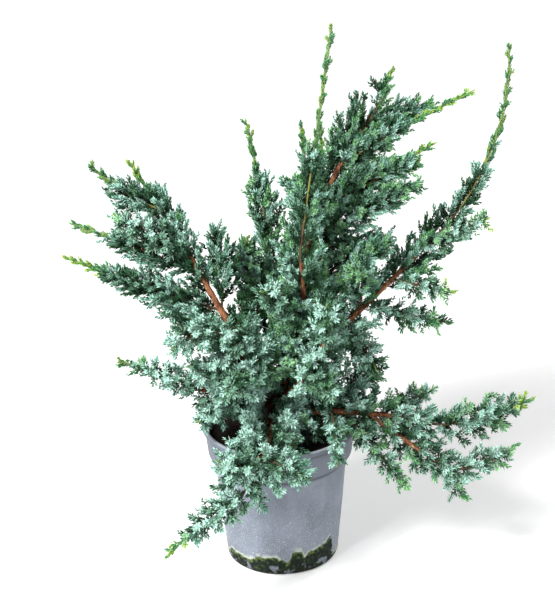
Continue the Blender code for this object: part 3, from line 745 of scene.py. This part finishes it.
# %% Bark finish
bark = Finish("peeling_bark", roughness=0.85, specular=0.25)
bark_broad = bark.noise(60, detail=4)
bark_fine = bark.noise(380, detail=4, stretch=(1, 1, 0.25))
bark_stops = [
    (0.30, (0.050, 0.018, 0.010)),
    (0.45, (0.200, 0.072, 0.036)),
    (0.57, (0.430, 0.175, 0.080)),
    (0.70, (0.740, 0.400, 0.220)),
]
bark_tone = bark_broad * 0.45 + bark_fine * 0.55
bark_colour = bark.node("ShaderNodeValToRGB", {"stops": bark_stops}, {"Fac": bark_tone})
bark.set("Base Color", bark_colour)
bark.bump(bark_fine, 0.0012)

flake = Finish("bark_flake", roughness=0.8, specular=0.25)
flake_tone = flake.noise(140, detail=3)
flake_stops = [(0.35, (0.090, 0.040, 0.022)), (0.52, (0.300, 0.130, 0.055)), (0.72, (0.560, 0.330, 0.170))]
flake.set("Base Color", flake.node("ShaderNodeValToRGB", {"stops": flake_stops}, {"Fac": flake_tone}))
flake.bump(flake_tone, 0.0006)

# %% Loft the wood
BARK_RING = 0.0028
BARK_SIDES = 16


def smooth_line(points, step):
    """A smooth curve through the points, with points an even step apart."""
    along = lengths_along(points)
    keep = np.r_[True, np.diff(along) > 1e-6]
    at = np.linspace(0, along[-1], max(4, round(along[-1] / step) + 1))
    linear = np.array([np.interp(at, along[keep], points[keep, k]) for k in range(3)]).T
    soft = linear.copy()
    for _ in range(6):
        soft[1:-1] = (soft[:-2] + 2 * soft[1:-1] + soft[2:]) / 4
    return soft, at, along


def loft(bm, points, radii, sides, relief, seed, start_open=False):
    """Adds a closed tube with a ridged skin to bm."""
    side = unit(np.cross(end_course(points[:2]), (0.3, 0.2, 1.0)))
    rings = []
    distance = lengths_along(points)
    grain = bm.verts.layers.float_vector["up_the_wood"]
    for k, (place, radius) in enumerate(zip(points, radii)):
        ahead = points[min(k + 1, len(points) - 1)]
        behind = points[max(k - 1, 0)]
        course = unit(ahead - behind)
        side = unit(side - course * np.dot(side, course))
        other = np.cross(course, side)
        ring = []
        for j in range(sides):
            angle = 2 * math.pi * j / sides
            spot = Vector((math.cos(angle) * 2.2, math.sin(angle) * 2.2, distance[k] * 45 + seed))
            broad = noise.noise(spot)
            fine = noise.noise(Vector((spot.x * 3, spot.y * 3, spot.z * 1.6)))
            out = radius * (1 + relief * (0.65 * broad + 0.5 * abs(fine) - 0.15))
            corner = place + (side * math.cos(angle) + other * math.sin(angle)) * out
            vert = bm.verts.new(corner)
            vert[grain] = course
            ring.append(vert)
        rings.append(ring)
    for one, two in zip(rings, rings[1:]):
        for j in range(sides):
            bm.faces.new((one[j], one[(j + 1) % sides], two[(j + 1) % sides], two[j]))
    bm.faces.new(rings[0][::-1])
    bm.faces.new(rings[-1])


bm = bmesh.new()
bm.verts.layers.float_vector.new("up_the_wood")
for number, (name, (knots, radii)) in enumerate(wood.items()):
    line, at, along = smooth_line(knots, BARK_RING)
    loft(bm, line, np.interp(at, along, radii), BARK_SIDES, 0.20, number * 7.3)
bark_mesh = bpy.data.meshes.new("bark_wood")
bm.to_mesh(bark_mesh)
bm.free()
bark_mesh.shade_smooth()
bark_wood = bpy.data.objects.new("bark_wood", bark_mesh)
bpy.context.scene.collection.objects.link(bark_wood)
bark_mesh.materials.append(bark.material)
print("bark faces:", len(bark_mesh.polygons))

# %% Scatter peeling flakes
FLAKE_STATIONS = 4
flake_mesh = bpy.data.meshes.new("flake_shape")
bm = bmesh.new()
strip = []
for k in range(FLAKE_STATIONS):
    share = k / (FLAKE_STATIONS - 1)
    half = 0.16 * math.sin(math.pi * (0.15 + 0.75 * share))
    lift = 0.22 * (share - 0.35) ** 2 + 0.02
    corners = [(share - 0.5, -half, lift), (share - 0.5, half, lift)]
    corners += [(share - 0.5, half, lift + 0.05), (share - 0.5, -half, lift + 0.05)]
    strip.append([bm.verts.new(corner) for corner in corners])
for one, two in zip(strip, strip[1:]):
    for j in range(4):
        bm.faces.new((one[j], one[(j + 1) % 4], two[(j + 1) % 4], two[j]))
bm.faces.new(strip[0][::-1])
bm.faces.new(strip[-1])
bmesh.ops.recalc_face_normals(bm, faces=bm.faces)
bm.to_mesh(flake_mesh)
bm.free()
flake_shape = bpy.data.objects.new("flake_shape", flake_mesh)

peel = Grower("peel_flakes", [
    ("Flake", "Object", None),
    ("Density", "Float", 1),
    ("Shortest", "Float", 1),
    ("Longest", "Float", 1),
    ("Finish", "Material", None),
    ("Seed", "Int", 0),
])
spread = peel.node("GeometryNodeDistributePointsOnFaces", {}, {
    "Mesh": peel.given("Geometry"),
    "Density": peel.given("Density"),
    "Seed": peel.given("Seed"),
})
along_grain = peel.node("FunctionNodeAxesToRotation", {"primary_axis": "Z", "secondary_axis": "X"}, {
    "Primary Axis": peel.out(spread, "Normal"),
    "Secondary Axis": peel.attribute("up_the_wood", "FLOAT_VECTOR"),
})
swerve = peel.turn((0, 0, 1), peel.chance(-0.25, 0.25, 2))
flake_info = peel.node("GeometryNodeObjectInfo", {}, {"Object": peel.given("Flake")})
flake_size = peel.chance(peel.given("Shortest"), peel.given("Longest"), 3)
placed = peel.node("GeometryNodeInstanceOnPoints", {}, {
    "Points": peel.out(spread, "Points"),
    "Instance": peel.out(flake_info, "Geometry"),
    "Rotation": peel.turned(peel.out(along_grain), swerve),
    "Scale": flake_size,
})
real = peel.node("GeometryNodeRealizeInstances", {}, {"Geometry": peel.out(placed)})
painted = peel.node("GeometryNodeSetMaterial", {}, {
    "Geometry": peel.out(real),
    "Material": peel.given("Finish"),
})
peel.finish(peel.out(painted))
bare = bpy.data.objects.new("flake_ground", bark_mesh.copy())
bpy.context.scene.collection.objects.link(bare)
flake_sizes = {"Flake": flake_shape, "Density": 26000.0, "Shortest": 0.003, "Longest": 0.009}
flakes = peel.run(bare, flake_sizes | {"Finish": flake.material, "Seed": 6}, "bark_flakes")
for piece in (bark_wood, flakes):
    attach(piece, "root")
    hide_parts(*wood)
print("flake faces:", len(flakes.data.polygons))

# %% [markdown]
# How a plume branches
#
# A plume is one stem with side branches round it by the golden angle, the turn by which each new
# branch leaves the last one uncovered. Each side branch carries short shoots, and each shoot
# whorls of three needles. Low on the plant the shoots splay into open stars, higher up they
# stand close and narrow, and the long leading tips are thin whips. One row of numbers tells each habit.

# %% Habits of growth
Habit = namedtuple(
    "Habit", "step forward shoot_step shoot_forward shoot_length needle open_foot open_tip curl"
)
HABITS = {
    "rosette": Habit(0.0040, 56, 0.0070, 50, 0.0145, 0.0077, 62, 26, 0.35),
    "plume": Habit(0.0036, 38, 0.0064, 32, 0.0155, 0.0070, 46, 18, 0.40),
    "whip": Habit(0.0050, 22, 0.0060, 20, 0.0080, 0.0062, 30, 16, 0.60),
    "leader": Habit(0.0050, 22, 0.0060, 20, 0.0080, 0.0066, 32, 14, 0.60),
}
WHORL_STEP = 0.0022
BRANCH_FOOT = 0.006
BARE_SHARE = 0.18
LONG_SHOOT = 0.016
TWIG_POINT_STEP = 0.0050
NEEDLE_OUT = 0.0090
# Painted shade, partly real age: the foot share of each shoot and the inner share of each side branch take a darker
# tint.
OLD_SHADED_FOOT_SHARE = 0.46
INNER_SHARE = 0.50
YOUNG_FROM = 0.68
YOUNG_STEM = 0.30
BEAD_LENGTH = 0.026
# The deep tint is a darker green made darker still as painted shade; the centre plumes get the most of it.
TINT_SHARES = {
    "front": (("pale", 0.68), ("mid", 0.29), ("fresh", 0.03)),
    "centre": (("pale", 0.24), ("mid", 0.40), ("deep", 0.32), ("fresh", 0.04)),
    "left": (("pale", 0.38), ("mid", 0.42), ("deep", 0.14), ("fresh", 0.06)),
    "right": (("pale", 0.48), ("mid", 0.28), ("deep", 0.02), ("fresh", 0.22)),
    "top": (("pale", 0.20), ("mid", 0.36), ("deep", 0.16), ("fresh", 0.28)),
    "back": (("pale", 0.28), ("mid", 0.24), ("fresh", 0.48)),
    "young": (("pale", 0.20), ("mid", 0.24), ("fresh", 0.56)),
    "whip": (("tip", 0.40), ("fresh", 0.60)),
    "lime": (("lime", 0.70), ("fresh", 0.30)),
}
LIMB_ZONES = {
    "trunk": "front", "upper_limb": "top", "left_limb": "left", "right_limb": "right",
    "leader_limb": "top", "lower_right_limb": "right", "lower_right_arm": "right",
    "drooping_limb": "front", "lower_left_limb": "front", "left_bank_limb": "front",
    "front_limb": "front", "back_limb": "back", "rear_limb": "back",
}
YOUNG_TAILS = ("drooping_tail", "lower_left_tail")
CENTRE_PLUMES = ("centre_front", "centre_left", "centre_right", "centre_heart", "centre_low")
OPEN_STEMS = ("front_leader", "right_leader")
LIME_COLLAR = ("right_leader",)
COLLAR_BELOW = 0.024
COLLAR_HALF = 0.012
# Painted shade, partly real age: each tint here leads to the darker one that the inner shoots and the foot of each
# shoot take.
OLD_AND_SHADED_TINT = {
    "pale": "mid", "mid": "old", "deep": "old", "old": "old", "fresh": "mid", "lime": "fresh", "tip": "tip",
}

Twig = namedtuple("Twig", "points girth young")
Leafy = namedtuple("Leafy", "points open reach tint")
rng = np.random.default_rng(SEED)


def dealt(shares):
    names = [name for name, share in shares]
    weights = np.array([share for name, share in shares])
    return names[int(rng.choice(len(names), p=weights / weights.sum()))]


def bent_path(base, course, aim, length):
    """A short path that sets off along course and swings over to aim."""
    steps = max(2, round(length / TWIG_POINT_STEP))
    share = ((np.arange(steps) + 0.5) / steps)[:, None]
    ways = course * (1 - share) + aim * share
    ways /= np.linalg.norm(ways, axis=1)[:, None]
    return np.vstack([base, base + np.cumsum(ways * length / steps, 0)])


# %% Keep clear of the pot and of the other plumes
LIMB_SPRAYS = [
    Plume("rim_spray", "lower_right_limb", 0.42, -84, 24, -4, -110, 0.086, 0.019, 0, "front", "rosette", 0),
    Plume("rim_fringe", "lower_right_limb", 0.16, -84, 26, -4, -64, 0.090, 0.019, 0, "front", "rosette", 0),
    Plume("crown_edge", "upper_limb", 0.46, -16, 16, 4, 0, 0.108, 0.020, 0, "top", "plume", 0),
    Plume("pale_tip", "upper_limb", 0.54, 180, 85, 0, 2, 0.142, 0.013, 0.36, "top", "plume", 0.15),
]
stems = {}
for row in PLUMES + LIMB_SPRAYS:
    parent, radii = wood[row.limb]
    base = point_at(parent, row.at * lengths_along(parent)[-1])
    lead = end_course(parent) if row.at == 1 else None
    stems[row.name] = shoot_path(base, row, lead)

stem_names = list(stems)
stem_points = [(p, k) for k, name in enumerate(stem_names) for p in stems[name][2:]]
near_stem = kdtree.KDTree(len(stem_points))
for k, (place, owner) in enumerate(stem_points):
    near_stem.insert(place, k)
near_stem.balance()

WINDOW_WIDTH = 0.008
WINDOW_DEPTH = 0.10
OPEN_SIDE = np.array((0, -0.90, 0.44))
OPEN_SHARE = 0.70
WINDOWS = [
    ("trunk", 0.30, 1.00),
    ("left_limb", 0.50, 0.66),
    ("right_limb", 0.45, 0.58),
    ("right_limb", 0.69, 0.80),
    ("leader_limb", 0.80, 0.90),
    ("upper_limb", 0.74, 0.80),
    ("lower_right_limb", 0.44, 0.58),
    ("lower_right_limb", 0.68, 0.76),
    ("lower_right_arm", 0.50, 0.72),
]
window_points = []
for name, start, end in WINDOWS:
    path = wood[name][0]
    total = lengths_along(path)[-1]
    for distance in np.arange(start * total, end * total, 0.005):
        for out in np.arange(0.006, WINDOW_DEPTH, 0.009):
            window_points.append(point_at(path, distance) + OPEN_SIDE * out)
near_window = kdtree.KDTree(len(window_points))
for k, place in enumerate(window_points):
    near_window.insert(place, k)
near_window.balance()


def has_room(path, tip, slack):
    """False in the pot, under the floor, before bare bark, or far nearer to another plume."""
    if tip[2] < 0.004 or near_window.find(tip)[2] < WINDOW_WIDTH:
        return False
    out = math.hypot(tip[0], tip[1])
    if out < RIM_RADIUS + 0.004 and tip[2] < (POT_HEIGHT if out > 0.082 else COMPOST_TOP) + 0.005:
        return False
    gap = near_stem.find(tip)[2]
    own = np.linalg.norm(path - tip, axis=1).min()
    return own < gap + slack


# %% Clothe a stem with branches, shoots and whorls
class Plant:
    """Collects the twigs and the leafy stretches of one plume or one limb."""

    def __init__(self, path, open_stem=False):
        self.path = path
        self.open_stem = open_stem
        self.twigs = []
        self.leafy = []

    def add_shoot(self, points, habit, girth, tint, bare=0.0):
        """A shoot. Its needles open wide at the foot and close to the tip, and its foot takes a darker tint, partly
        for age and partly as painted shade.
        """
        share = lengths_along(points)
        share = share / share[-1]
        opening = np.radians(habit.open_foot + (habit.open_tip - habit.open_foot) * share ** 3)
        reach = habit.needle * (0.85 + 0.28 * share - 0.42 * share ** 3)
        self.twigs.append(Twig(points, girth * (1.1 - 0.7 * share), tint in ("tip", "lime")))
        first = int(np.searchsorted(share, bare))
        old_shaded_end = max(first + 1, int(round(OLD_SHADED_FOOT_SHARE * (len(points) - 1))))
        for low, high, kind in ((first, old_shaded_end, OLD_AND_SHADED_TINT[tint]), (old_shaded_end, len(points) - 1, tint)):
            if high > low:
                part = slice(low, high + 1)
                self.leafy.append(Leafy(points[part], opening[part], reach[part], kind))

    def add_side_shoots(self, branch, habit, tint, order=1):
        """The short shoots along a side branch. A long one has shoots of its own."""
        length = lengths_along(branch)[-1]
        turn = rng.uniform(0, 2 * math.pi)
        distance = max(0.003, BARE_SHARE * length)
        while distance < length - 0.003:
            turn += GOLDEN_ANGLE
            place, course, away = station(branch, distance, turn)
            forward = math.radians(habit.shoot_forward * rng.uniform(0.8, 1.2))
            way = course * math.cos(forward) + away * math.sin(forward)
            aim = unit(way + (course + np.array((0, 0, 0.3))) * 0.5)
            size = max(habit.shoot_length * (1.1 - 0.4 * distance / length), 0.45 * (length - distance))
            size = size * rng.uniform(0.7, 1.1) * (1 if order == 1 else 0.75)
            twig = bent_path(place, way, aim, size)
            distance += habit.shoot_step * rng.uniform(0.8, 1.2)
            if has_room(self.path, twig[-1], 0.024):
                # Painted shade, partly real age: shoots on the inner half of a side branch take the darker tint.
                inner = order == 1 and distance < INNER_SHARE * length
                self.add_shoot(twig, habit, 0.0004, OLD_AND_SHADED_TINT[tint] if inner else tint)
                if size > LONG_SHOOT and order == 1:
                    self.add_side_shoots(twig, habit, tint, order=2)

    def add_branch(self, distance, turn, habit, tint, reach, longest, lean=1.0):
        """A side branch, just long enough for its tip to stand reach out from the stem."""
        place, course, away = station(self.path, distance, turn)
        forward = math.radians(habit.forward * lean * rng.uniform(0.85, 1.15))
        if self.open_stem and np.dot(away, OPEN_SIDE) > OPEN_SHARE:
            return
        way = course * math.cos(forward) + away * math.sin(forward)
        aim = unit(way + (course + np.array((0, 0, 0.35))) * habit.curl)
        length = max(reach / math.sin(forward), 0.007)
        run = bent_path(place, way, aim, length)[-1] - place
        beside = np.linalg.norm(run - course * np.dot(run, course))
        length = min(length * min(max(reach / max(beside, 0.002), 1), 1.5), longest)
        branch = bent_path(place, way, aim, length)
        if has_room(self.path, branch[-1], 0.018):
            self.add_shoot(branch, habit, 0.00055, tint, bare=BARE_SHARE if length > 0.014 else 0)
            self.add_side_shoots(branch, habit, tint)


def station(path, distance, turn):
    """A place along a path, the way the path runs there, and the way that is turn round it."""
    place = point_at(path, distance)
    course = unit(point_at(path, distance + 0.002) - point_at(path, distance - 0.002))
    side = unit(np.cross(course, (0.3, 0.2, 1.0)))
    return place, course, side * math.cos(turn) + np.cross(course, side) * math.sin(turn)


# %% Grow each plume
def grow_plume(row):
    plant = Plant(stems[row.name], row.name in OPEN_STEMS)
    path = plant.path
    total = lengths_along(path)[-1]
    full = total * (1 - row.whip)
    turn = rng.uniform(0, 2 * math.pi)
    distance = BRANCH_FOOT
    while distance < total - 0.005:
        turn += GOLDEN_ANGLE + rng.uniform(-0.25, 0.25)
        greens = row.zone not in ("left", "front") or row.name in YOUNG_TAILS
        # The centre plumes take the darker shares as painted shade in the middle of the plant.
        kind = "centre" if row.name in CENTRE_PLUMES else row.zone
        if greens and distance > total * YOUNG_FROM:
            kind = "young"
        if distance > full:
            kind = "whip"
        if distance > total * (1 - row.lime):
            kind = "lime"
        if distance > full:
            habit = HABITS["whip"]
            share = (distance - full) / (total - full)
            bead = 0.5 + 0.5 * math.sin(2 * math.pi * distance / BEAD_LENGTH)
            reach = (0.0020 + 0.0040 * bead) * (1 - 0.45 * share)
            longest = (0.009 + 0.009 * bead) * (1 - 0.45 * share)
            lean = 1
        else:
            habit = HABITS[row.habit]
            share = distance / full
            fullness = (1 - 0.78 * share ** 2.6) * min(1, 0.7 + distance / 0.06)
            reach = (row.reach * fullness - NEEDLE_OUT * (1 - 0.5 * share)) * rng.uniform(0.75, 1.05)
            lean = 1 - 0.30 * share ** 2
            longest = (total - distance) / math.cos(math.radians(habit.forward)) + 0.003
            longest = max(longest, 0.007)
        if row.name in LIME_COLLAR and abs(distance - full + COLLAR_BELOW) < COLLAR_HALF:
            kind = "lime"
            habit = HABITS["leader"]
            reach = row.reach * 0.8
            longest = row.reach
        plant.add_branch(distance, turn, habit, dealt(TINT_SHARES[kind]), reach, longest, lean)
        distance += habit.step * rng.uniform(0.8, 1.2)
    along = lengths_along(path)
    first_leaf = np.flatnonzero(along > (full if row.whip else total - 0.016))[0]
    plant.add_shoot(path[first_leaf - 1:], HABITS["leader"], 0.0011, "lime" if row.lime else "tip")
    girth = np.linspace(0.0020, 0.0011, first_leaf)
    turning = first_leaf
    if row.whip > YOUNG_STEM:
        turning = max(2, round(first_leaf * 0.35))
        plant.twigs.append(Twig(path[turning - 1:first_leaf], girth[turning - 1:], True))
    plant.twigs.append(Twig(path[:turning], girth[:turning], False))
    return plant


# %% Grow short branches on the limbs
LIMB_GROWTH = [
    ("trunk", 0.12, 1.00, 0.046, "rosette"),
    ("upper_limb", 0.02, 0.50, 0.046, "plume"),
    ("upper_limb", 0.50, 0.82, 0.042, "plume"),
    ("upper_limb", 0.76, 0.92, 0.036, "plume"),
    ("left_limb", 0.05, 0.42, 0.040, "rosette"),
    ("left_limb", 0.60, 0.95, 0.020, "plume"),
    ("right_limb", 0.10, 0.60, 0.040, "rosette"),
    ("right_limb", 0.60, 0.98, 0.030, "plume"),
    ("leader_limb", 0.10, 0.95, 0.032, "plume"),
    ("lower_right_limb", 0.05, 0.50, 0.048, "rosette"),
    ("lower_right_limb", 0.50, 0.98, 0.034, "rosette"),
    ("lower_right_arm", 0.20, 0.95, 0.026, "rosette"),
    ("drooping_limb", 0.10, 0.70, 0.056, "rosette"),
    ("drooping_limb", 0.25, 0.95, 0.044, "rosette"),
    ("lower_left_limb", 0.15, 0.95, 0.034, "rosette"),
    ("left_bank_limb", 0.10, 0.95, 0.042, "rosette"),
    ("front_limb", 0.12, 0.95, 0.036, "rosette"),
    ("back_limb", 0.20, 0.95, 0.044, "plume"),
    ("rear_limb", 0.25, 0.95, 0.034, "plume"),
]
LIMB_BRANCH_STEP = 0.0038


def grow_on_limb(name, start, end, reach, habit_name):
    plant = Plant(wood[name][0])
    total = lengths_along(plant.path)[-1]
    habit = HABITS[habit_name]
    turn = rng.uniform(0, 2 * math.pi)
    distance = start * total
    while distance < end * total:
        turn += GOLDEN_ANGLE + rng.uniform(-0.3, 0.3)
        out = reach * rng.uniform(0.55, 1.0)
        plant.add_branch(distance, turn, habit, dealt(TINT_SHARES[LIMB_ZONES[name]]), out, 0.06)
        distance += LIMB_BRANCH_STEP * rng.uniform(0.8, 1.2)
    return plant


growth = {row.name: grow_plume(row) for row in PLUMES + LIMB_SPRAYS}
limb_growth = [grow_on_limb(*row) for row in LIMB_GROWTH]
everything = list(growth.values()) + limb_growth
whorls = sum(lengths_along(l.points)[-1] / WHORL_STEP for plant in everything for l in plant.leafy)
print("twigs:", sum(len(plant.twigs) for plant in everything), "whorls:", round(whorls))

# %% [markdown]
# Needles
#
# A needle of this juniper is a short keeled blade, pale and waxy on the side that faces the tip and
# green on its back. Two hundred thousand of them fill the plant, so one needle has four faces.
# Geometry Nodes walk along every shoot, stop at each whorl and set three needles round it.

# %% One needle
NEEDLE_WIDTH = 0.42
needle_mesh = bpy.data.meshes.new("needle_shape")
corners = [
    (0, 0, 0),
    (0.05, -NEEDLE_WIDTH / 2, 0.34),
    (0.05, NEEDLE_WIDTH / 2, 0.34),
    (-0.06, 0, 1),
]
pale_faces = [(0, 3, 2), (0, 1, 3)]
back_faces = [(0, 2, 1), (3, 1, 2)]
needle_mesh.from_pydata(corners, [], pale_faces + back_faces)
mark = needle_mesh.attributes.new("pale_face", "BOOLEAN", "FACE")
mark.data.foreach_set("value", [k < len(pale_faces) for k in range(4)])
needle = bpy.data.objects.new("needle_shape", needle_mesh)
outward = sum(p.normal.dot(p.center - Vector((0, 0, 0.4))) > 0 for p in needle_mesh.polygons)
print("needle faces outwards:", outward, "of", len(needle_mesh.polygons))

# %% The tree that sets needles along shoots
leaves = Grower("set_needles", [
    ("Needle", "Object", None),
    ("Whorl step", "Float", 1),
    ("Pale finish", "Material", None),
    ("Back finish", "Material", None),
    ("Seed", "Int", 0),
])
lines = leaves.node("GeometryNodeMeshToCurve", {}, {"Mesh": leaves.given("Geometry")})
stations = leaves.node("GeometryNodeCurveToPoints", {"mode": "LENGTH"}, {
    "Curve": leaves.out(lines),
    "Length": leaves.given("Whorl step"),
})
number = leaves.out(leaves.node("GeometryNodeInputIndex"))
marked = leaves.node("GeometryNodeStoreNamedAttribute", {"data_type": "FLOAT"}, {
    "Geometry": leaves.out(stations, "Points"),
    "Name": "turn",
    "Value": leaves.maths("MULTIPLY", number, math.pi / 3),
})
three = leaves.node("GeometryNodeDuplicateElements", {"domain": "POINT"}, {
    "Geometry": leaves.out(marked),
    "Amount": 3,
})
third = leaves.maths("MULTIPLY", leaves.out(three, "Duplicate Index"), 2 * math.pi / 3)
round_angle = leaves.maths("ADD", leaves.attribute("turn"), third)
round_angle = leaves.maths("ADD", round_angle, leaves.chance(-0.25, 0.25, 1))
open_angle = leaves.maths("ADD", leaves.attribute("open"), leaves.chance(-0.14, 0.14, 2))
way = leaves.turned(leaves.out(stations, "Rotation"), leaves.turn((0, 0, 1), round_angle))
way = leaves.turned(way, leaves.turn((0, 1, 0), open_angle))
needle_info = leaves.node("GeometryNodeObjectInfo", {}, {"Object": leaves.given("Needle")})
has_leaf = leaves.maths("GREATER_THAN", leaves.attribute("reach"), 0.001)
placed = leaves.node("GeometryNodeInstanceOnPoints", {}, {
    "Points": leaves.out(three),
    "Selection": has_leaf,
    "Instance": leaves.out(needle_info, "Geometry"),
    "Rotation": way,
    "Scale": leaves.maths("MULTIPLY", leaves.attribute("reach"), leaves.chance(0.85, 1.15, 3)),
})
real = leaves.node("GeometryNodeRealizeInstances", {}, {"Geometry": leaves.out(placed)})
backed = leaves.node("GeometryNodeSetMaterial", {}, {
    "Geometry": leaves.out(real),
    "Material": leaves.given("Back finish"),
})
faced = leaves.node("GeometryNodeSetMaterial", {}, {
    "Geometry": leaves.out(backed),
    "Selection": leaves.attribute("pale_face", "BOOLEAN"),
    "Material": leaves.given("Pale finish"),
})
leaves.finish(leaves.out(faced))

# %% The tree that gives twigs their thickness
twigs = Grower("round_twigs", [
    ("Sides", "Int", 3),
    ("Finish", "Material", None),
])
lines = twigs.node("GeometryNodeMeshToCurve", {}, {"Mesh": twigs.given("Geometry")})
section = twigs.node("GeometryNodeCurvePrimitiveCircle", {}, {
    "Resolution": twigs.given("Sides"),
    "Radius": 1.0,
})
tube = twigs.node("GeometryNodeCurveToMesh", {}, {
    "Curve": twigs.out(lines),
    "Profile Curve": twigs.out(section),
    "Scale": twigs.attribute("girth"),
    "Fill Caps": True,
})
welded = twigs.node("GeometryNodeMergeByDistance", {}, {
    "Geometry": twigs.out(tube),
    "Distance": 0.00001,
})
real = twigs.node("GeometryNodeRealizeInstances", {}, {"Geometry": twigs.out(welded)})
painted = twigs.node("GeometryNodeSetMaterial", {}, {
    "Geometry": twigs.out(real),
    "Material": twigs.given("Finish"),
})
twigs.finish(twigs.out(painted))


# %% Turn shoots into lines that the trees can read
def shoot_lines(name, shoots, labels):
    """One mesh of bare edges, with the labelled numbers of each point."""
    counts = [len(shoot.points) for shoot in shoots]
    starts = np.r_[0, np.cumsum(counts)[:-1]]
    edges = np.concatenate([
        np.stack([np.arange(n - 1) + start, np.arange(1, n) + start], 1)
        for n, start in zip(counts, starts)
    ])
    mesh = bpy.data.meshes.new(name)
    mesh.vertices.add(sum(counts))
    mesh.edges.add(len(edges))
    points = np.concatenate([shoot.points for shoot in shoots])
    mesh.vertices.foreach_set("co", points.astype(np.float32).ravel())
    mesh.edges.foreach_set("vertices", edges.astype(np.int32).ravel())
    for label in labels:
        values = np.concatenate([getattr(shoot, label) for shoot in shoots])
        attribute = mesh.attributes.new(label, "FLOAT", "POINT")
        attribute.data.foreach_set("value", values.astype(np.float32))
    mesh.update()
    made = bpy.data.objects.new(name, mesh)
    bpy.context.scene.collection.objects.link(made)
    return made


# %% Needle and twig finishes
# The two darkest tints are real darker greens made darker still as painted shade inside the plant.
TINTS = {
    "pale": ((0.510, 0.770, 0.675), (0.140, 0.330, 0.230)),
    "mid": ((0.240, 0.440, 0.320), (0.046, 0.150, 0.080)),
    "deep": ((0.120, 0.270, 0.150), (0.020, 0.085, 0.032)),
    "old": ((0.040, 0.125, 0.056), (0.006, 0.030, 0.011)),
    "fresh": ((0.320, 0.600, 0.310), (0.070, 0.260, 0.075)),
    "lime": ((0.540, 0.680, 0.220), (0.290, 0.450, 0.070)),
    "tip": ((0.420, 0.580, 0.270), (0.210, 0.350, 0.100)),
}
needle_finishes = {}
for tint, (pale, back) in TINTS.items():
    pale_side = Finish(f"needle_face_{tint}", roughness=0.55, specular=0.35)
    pale_side.set("Base Color", pale)
    back_side = Finish(f"needle_back_{tint}", roughness=0.5, specular=0.35)
    back_side.set("Base Color", back)
    needle_finishes[tint] = (pale_side.material, back_side.material)
twig_finish = Finish("twig_bark", roughness=0.8, specular=0.25)
twig_finish.set("Base Color", (0.115, 0.075, 0.038))
young_finish = Finish("young_twig", roughness=0.7, specular=0.3)
young_finish.set("Base Color", (0.210, 0.215, 0.055))

# %% Grow the needles and the twigs, zone by zone
triangles = 0
for zone in ("front", "left", "right", "top", "back"):
    members = [row.name for row in PLUMES if row.zone == zone]
    plants = [growth[row.name] for row in PLUMES + LIMB_SPRAYS if row.zone == zone]
    plants += [plant for plant, row in zip(limb_growth, LIMB_GROWTH) if LIMB_ZONES[row[0]] == zone]
    pieces = []
    for order, tint in enumerate(TINTS):
        leafed = [leafy for plant in plants for leafy in plant.leafy if leafy.tint == tint]
        if not leafed:
            continue
        pale_side, back_side = needle_finishes[tint]
        line_mesh = shoot_lines("needle_lines", leafed, ("open", "reach"))
        values = {"Needle": needle, "Whorl step": WHORL_STEP, "Seed": order}
        values |= {"Pale finish": pale_side, "Back finish": back_side}
        piece = leaves.run(line_mesh, values, f"needles_{zone}_{tint}")
        pieces.append(piece)
    for young, finish, label in ((False, twig_finish, "twigs"), (True, young_finish, "young_twigs")):
        cores = [twig for plant in plants for twig in plant.twigs if twig.young == young]
        line_mesh = shoot_lines("twig_lines", cores, ("girth",))
        piece = twigs.run(line_mesh, {"Sides": 3, "Finish": finish.material}, f"{label}_{zone}")
        pieces.append(piece)
    for piece in pieces:
        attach(piece, "root")
        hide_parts(*members)
        count = sum(len(p.vertices) - 2 for p in piece.data.polygons)
        triangles += count
        print(piece.name, "triangles:", count)
print("needle and twig triangles:", triangles)

# %% [markdown]
# Floor and light
#
# The photograph has a plain white ground and soft light. A large lamp from the upper left and in
# front shapes the plumes, a pale world fills the shade, and the floor is nearly white.

# %% Make the floor and the lights
FLOOR_HALF = 6.0
floor_mesh = bpy.data.meshes.new("floor")
floor_corners = [(-FLOOR_HALF, -FLOOR_HALF, 0), (FLOOR_HALF, -FLOOR_HALF, 0)]
floor_corners += [(FLOOR_HALF, FLOOR_HALF, 0), (-FLOOR_HALF, FLOOR_HALF, 0)]
floor_mesh.from_pydata(floor_corners, [], [(0, 1, 2, 3)])
floor_mesh.transform(Matrix.Translation((0, 0, -0.0002)))
floor = bpy.data.objects.new("floor", floor_mesh)
bpy.context.scene.collection.objects.link(floor)
floor_finish = Finish("pale_floor", roughness=0.9, specular=0.1)
floor_finish.set("Base Color", (0.90, 0.90, 0.90))
floor_finish.set("Emission Color", (1, 1, 1))
floor_finish.set("Emission Strength", 0.27)
floor_mesh.materials.append(floor_finish.material)

world = bpy.data.worlds.new("soft_world")
world.use_nodes = True
world.node_tree.nodes["Background"].inputs["Color"].default_value = (1, 1, 1, 1)
world.node_tree.nodes["Background"].inputs["Strength"].default_value = 0.33
bpy.context.scene.world = world


def add_lamp(name, place, aim, size, power):
    data = bpy.data.lights.new(name, "AREA")
    data.size = size
    data.energy = power
    lamp = bpy.data.objects.new(name, data)
    lamp.location = place
    lamp.rotation_euler = (Vector(aim) - Vector(place)).to_track_quat("-Z", "Y").to_euler()
    bpy.context.scene.collection.objects.link(lamp)
    return lamp


MIDDLE = (0, 0, 0.35)
key_lamp = add_lamp("key_lamp", (-1.3, -1.5, 2.4), MIDDLE, 0.9, 146)
rim_lamp = add_lamp("rim_lamp", (1.6, 1.2, 1.8), MIDDLE, 1.2, 22)
bpy.context.scene.view_settings.view_transform = "Standard"
print("lamps:", key_lamp.name, rim_lamp.name)
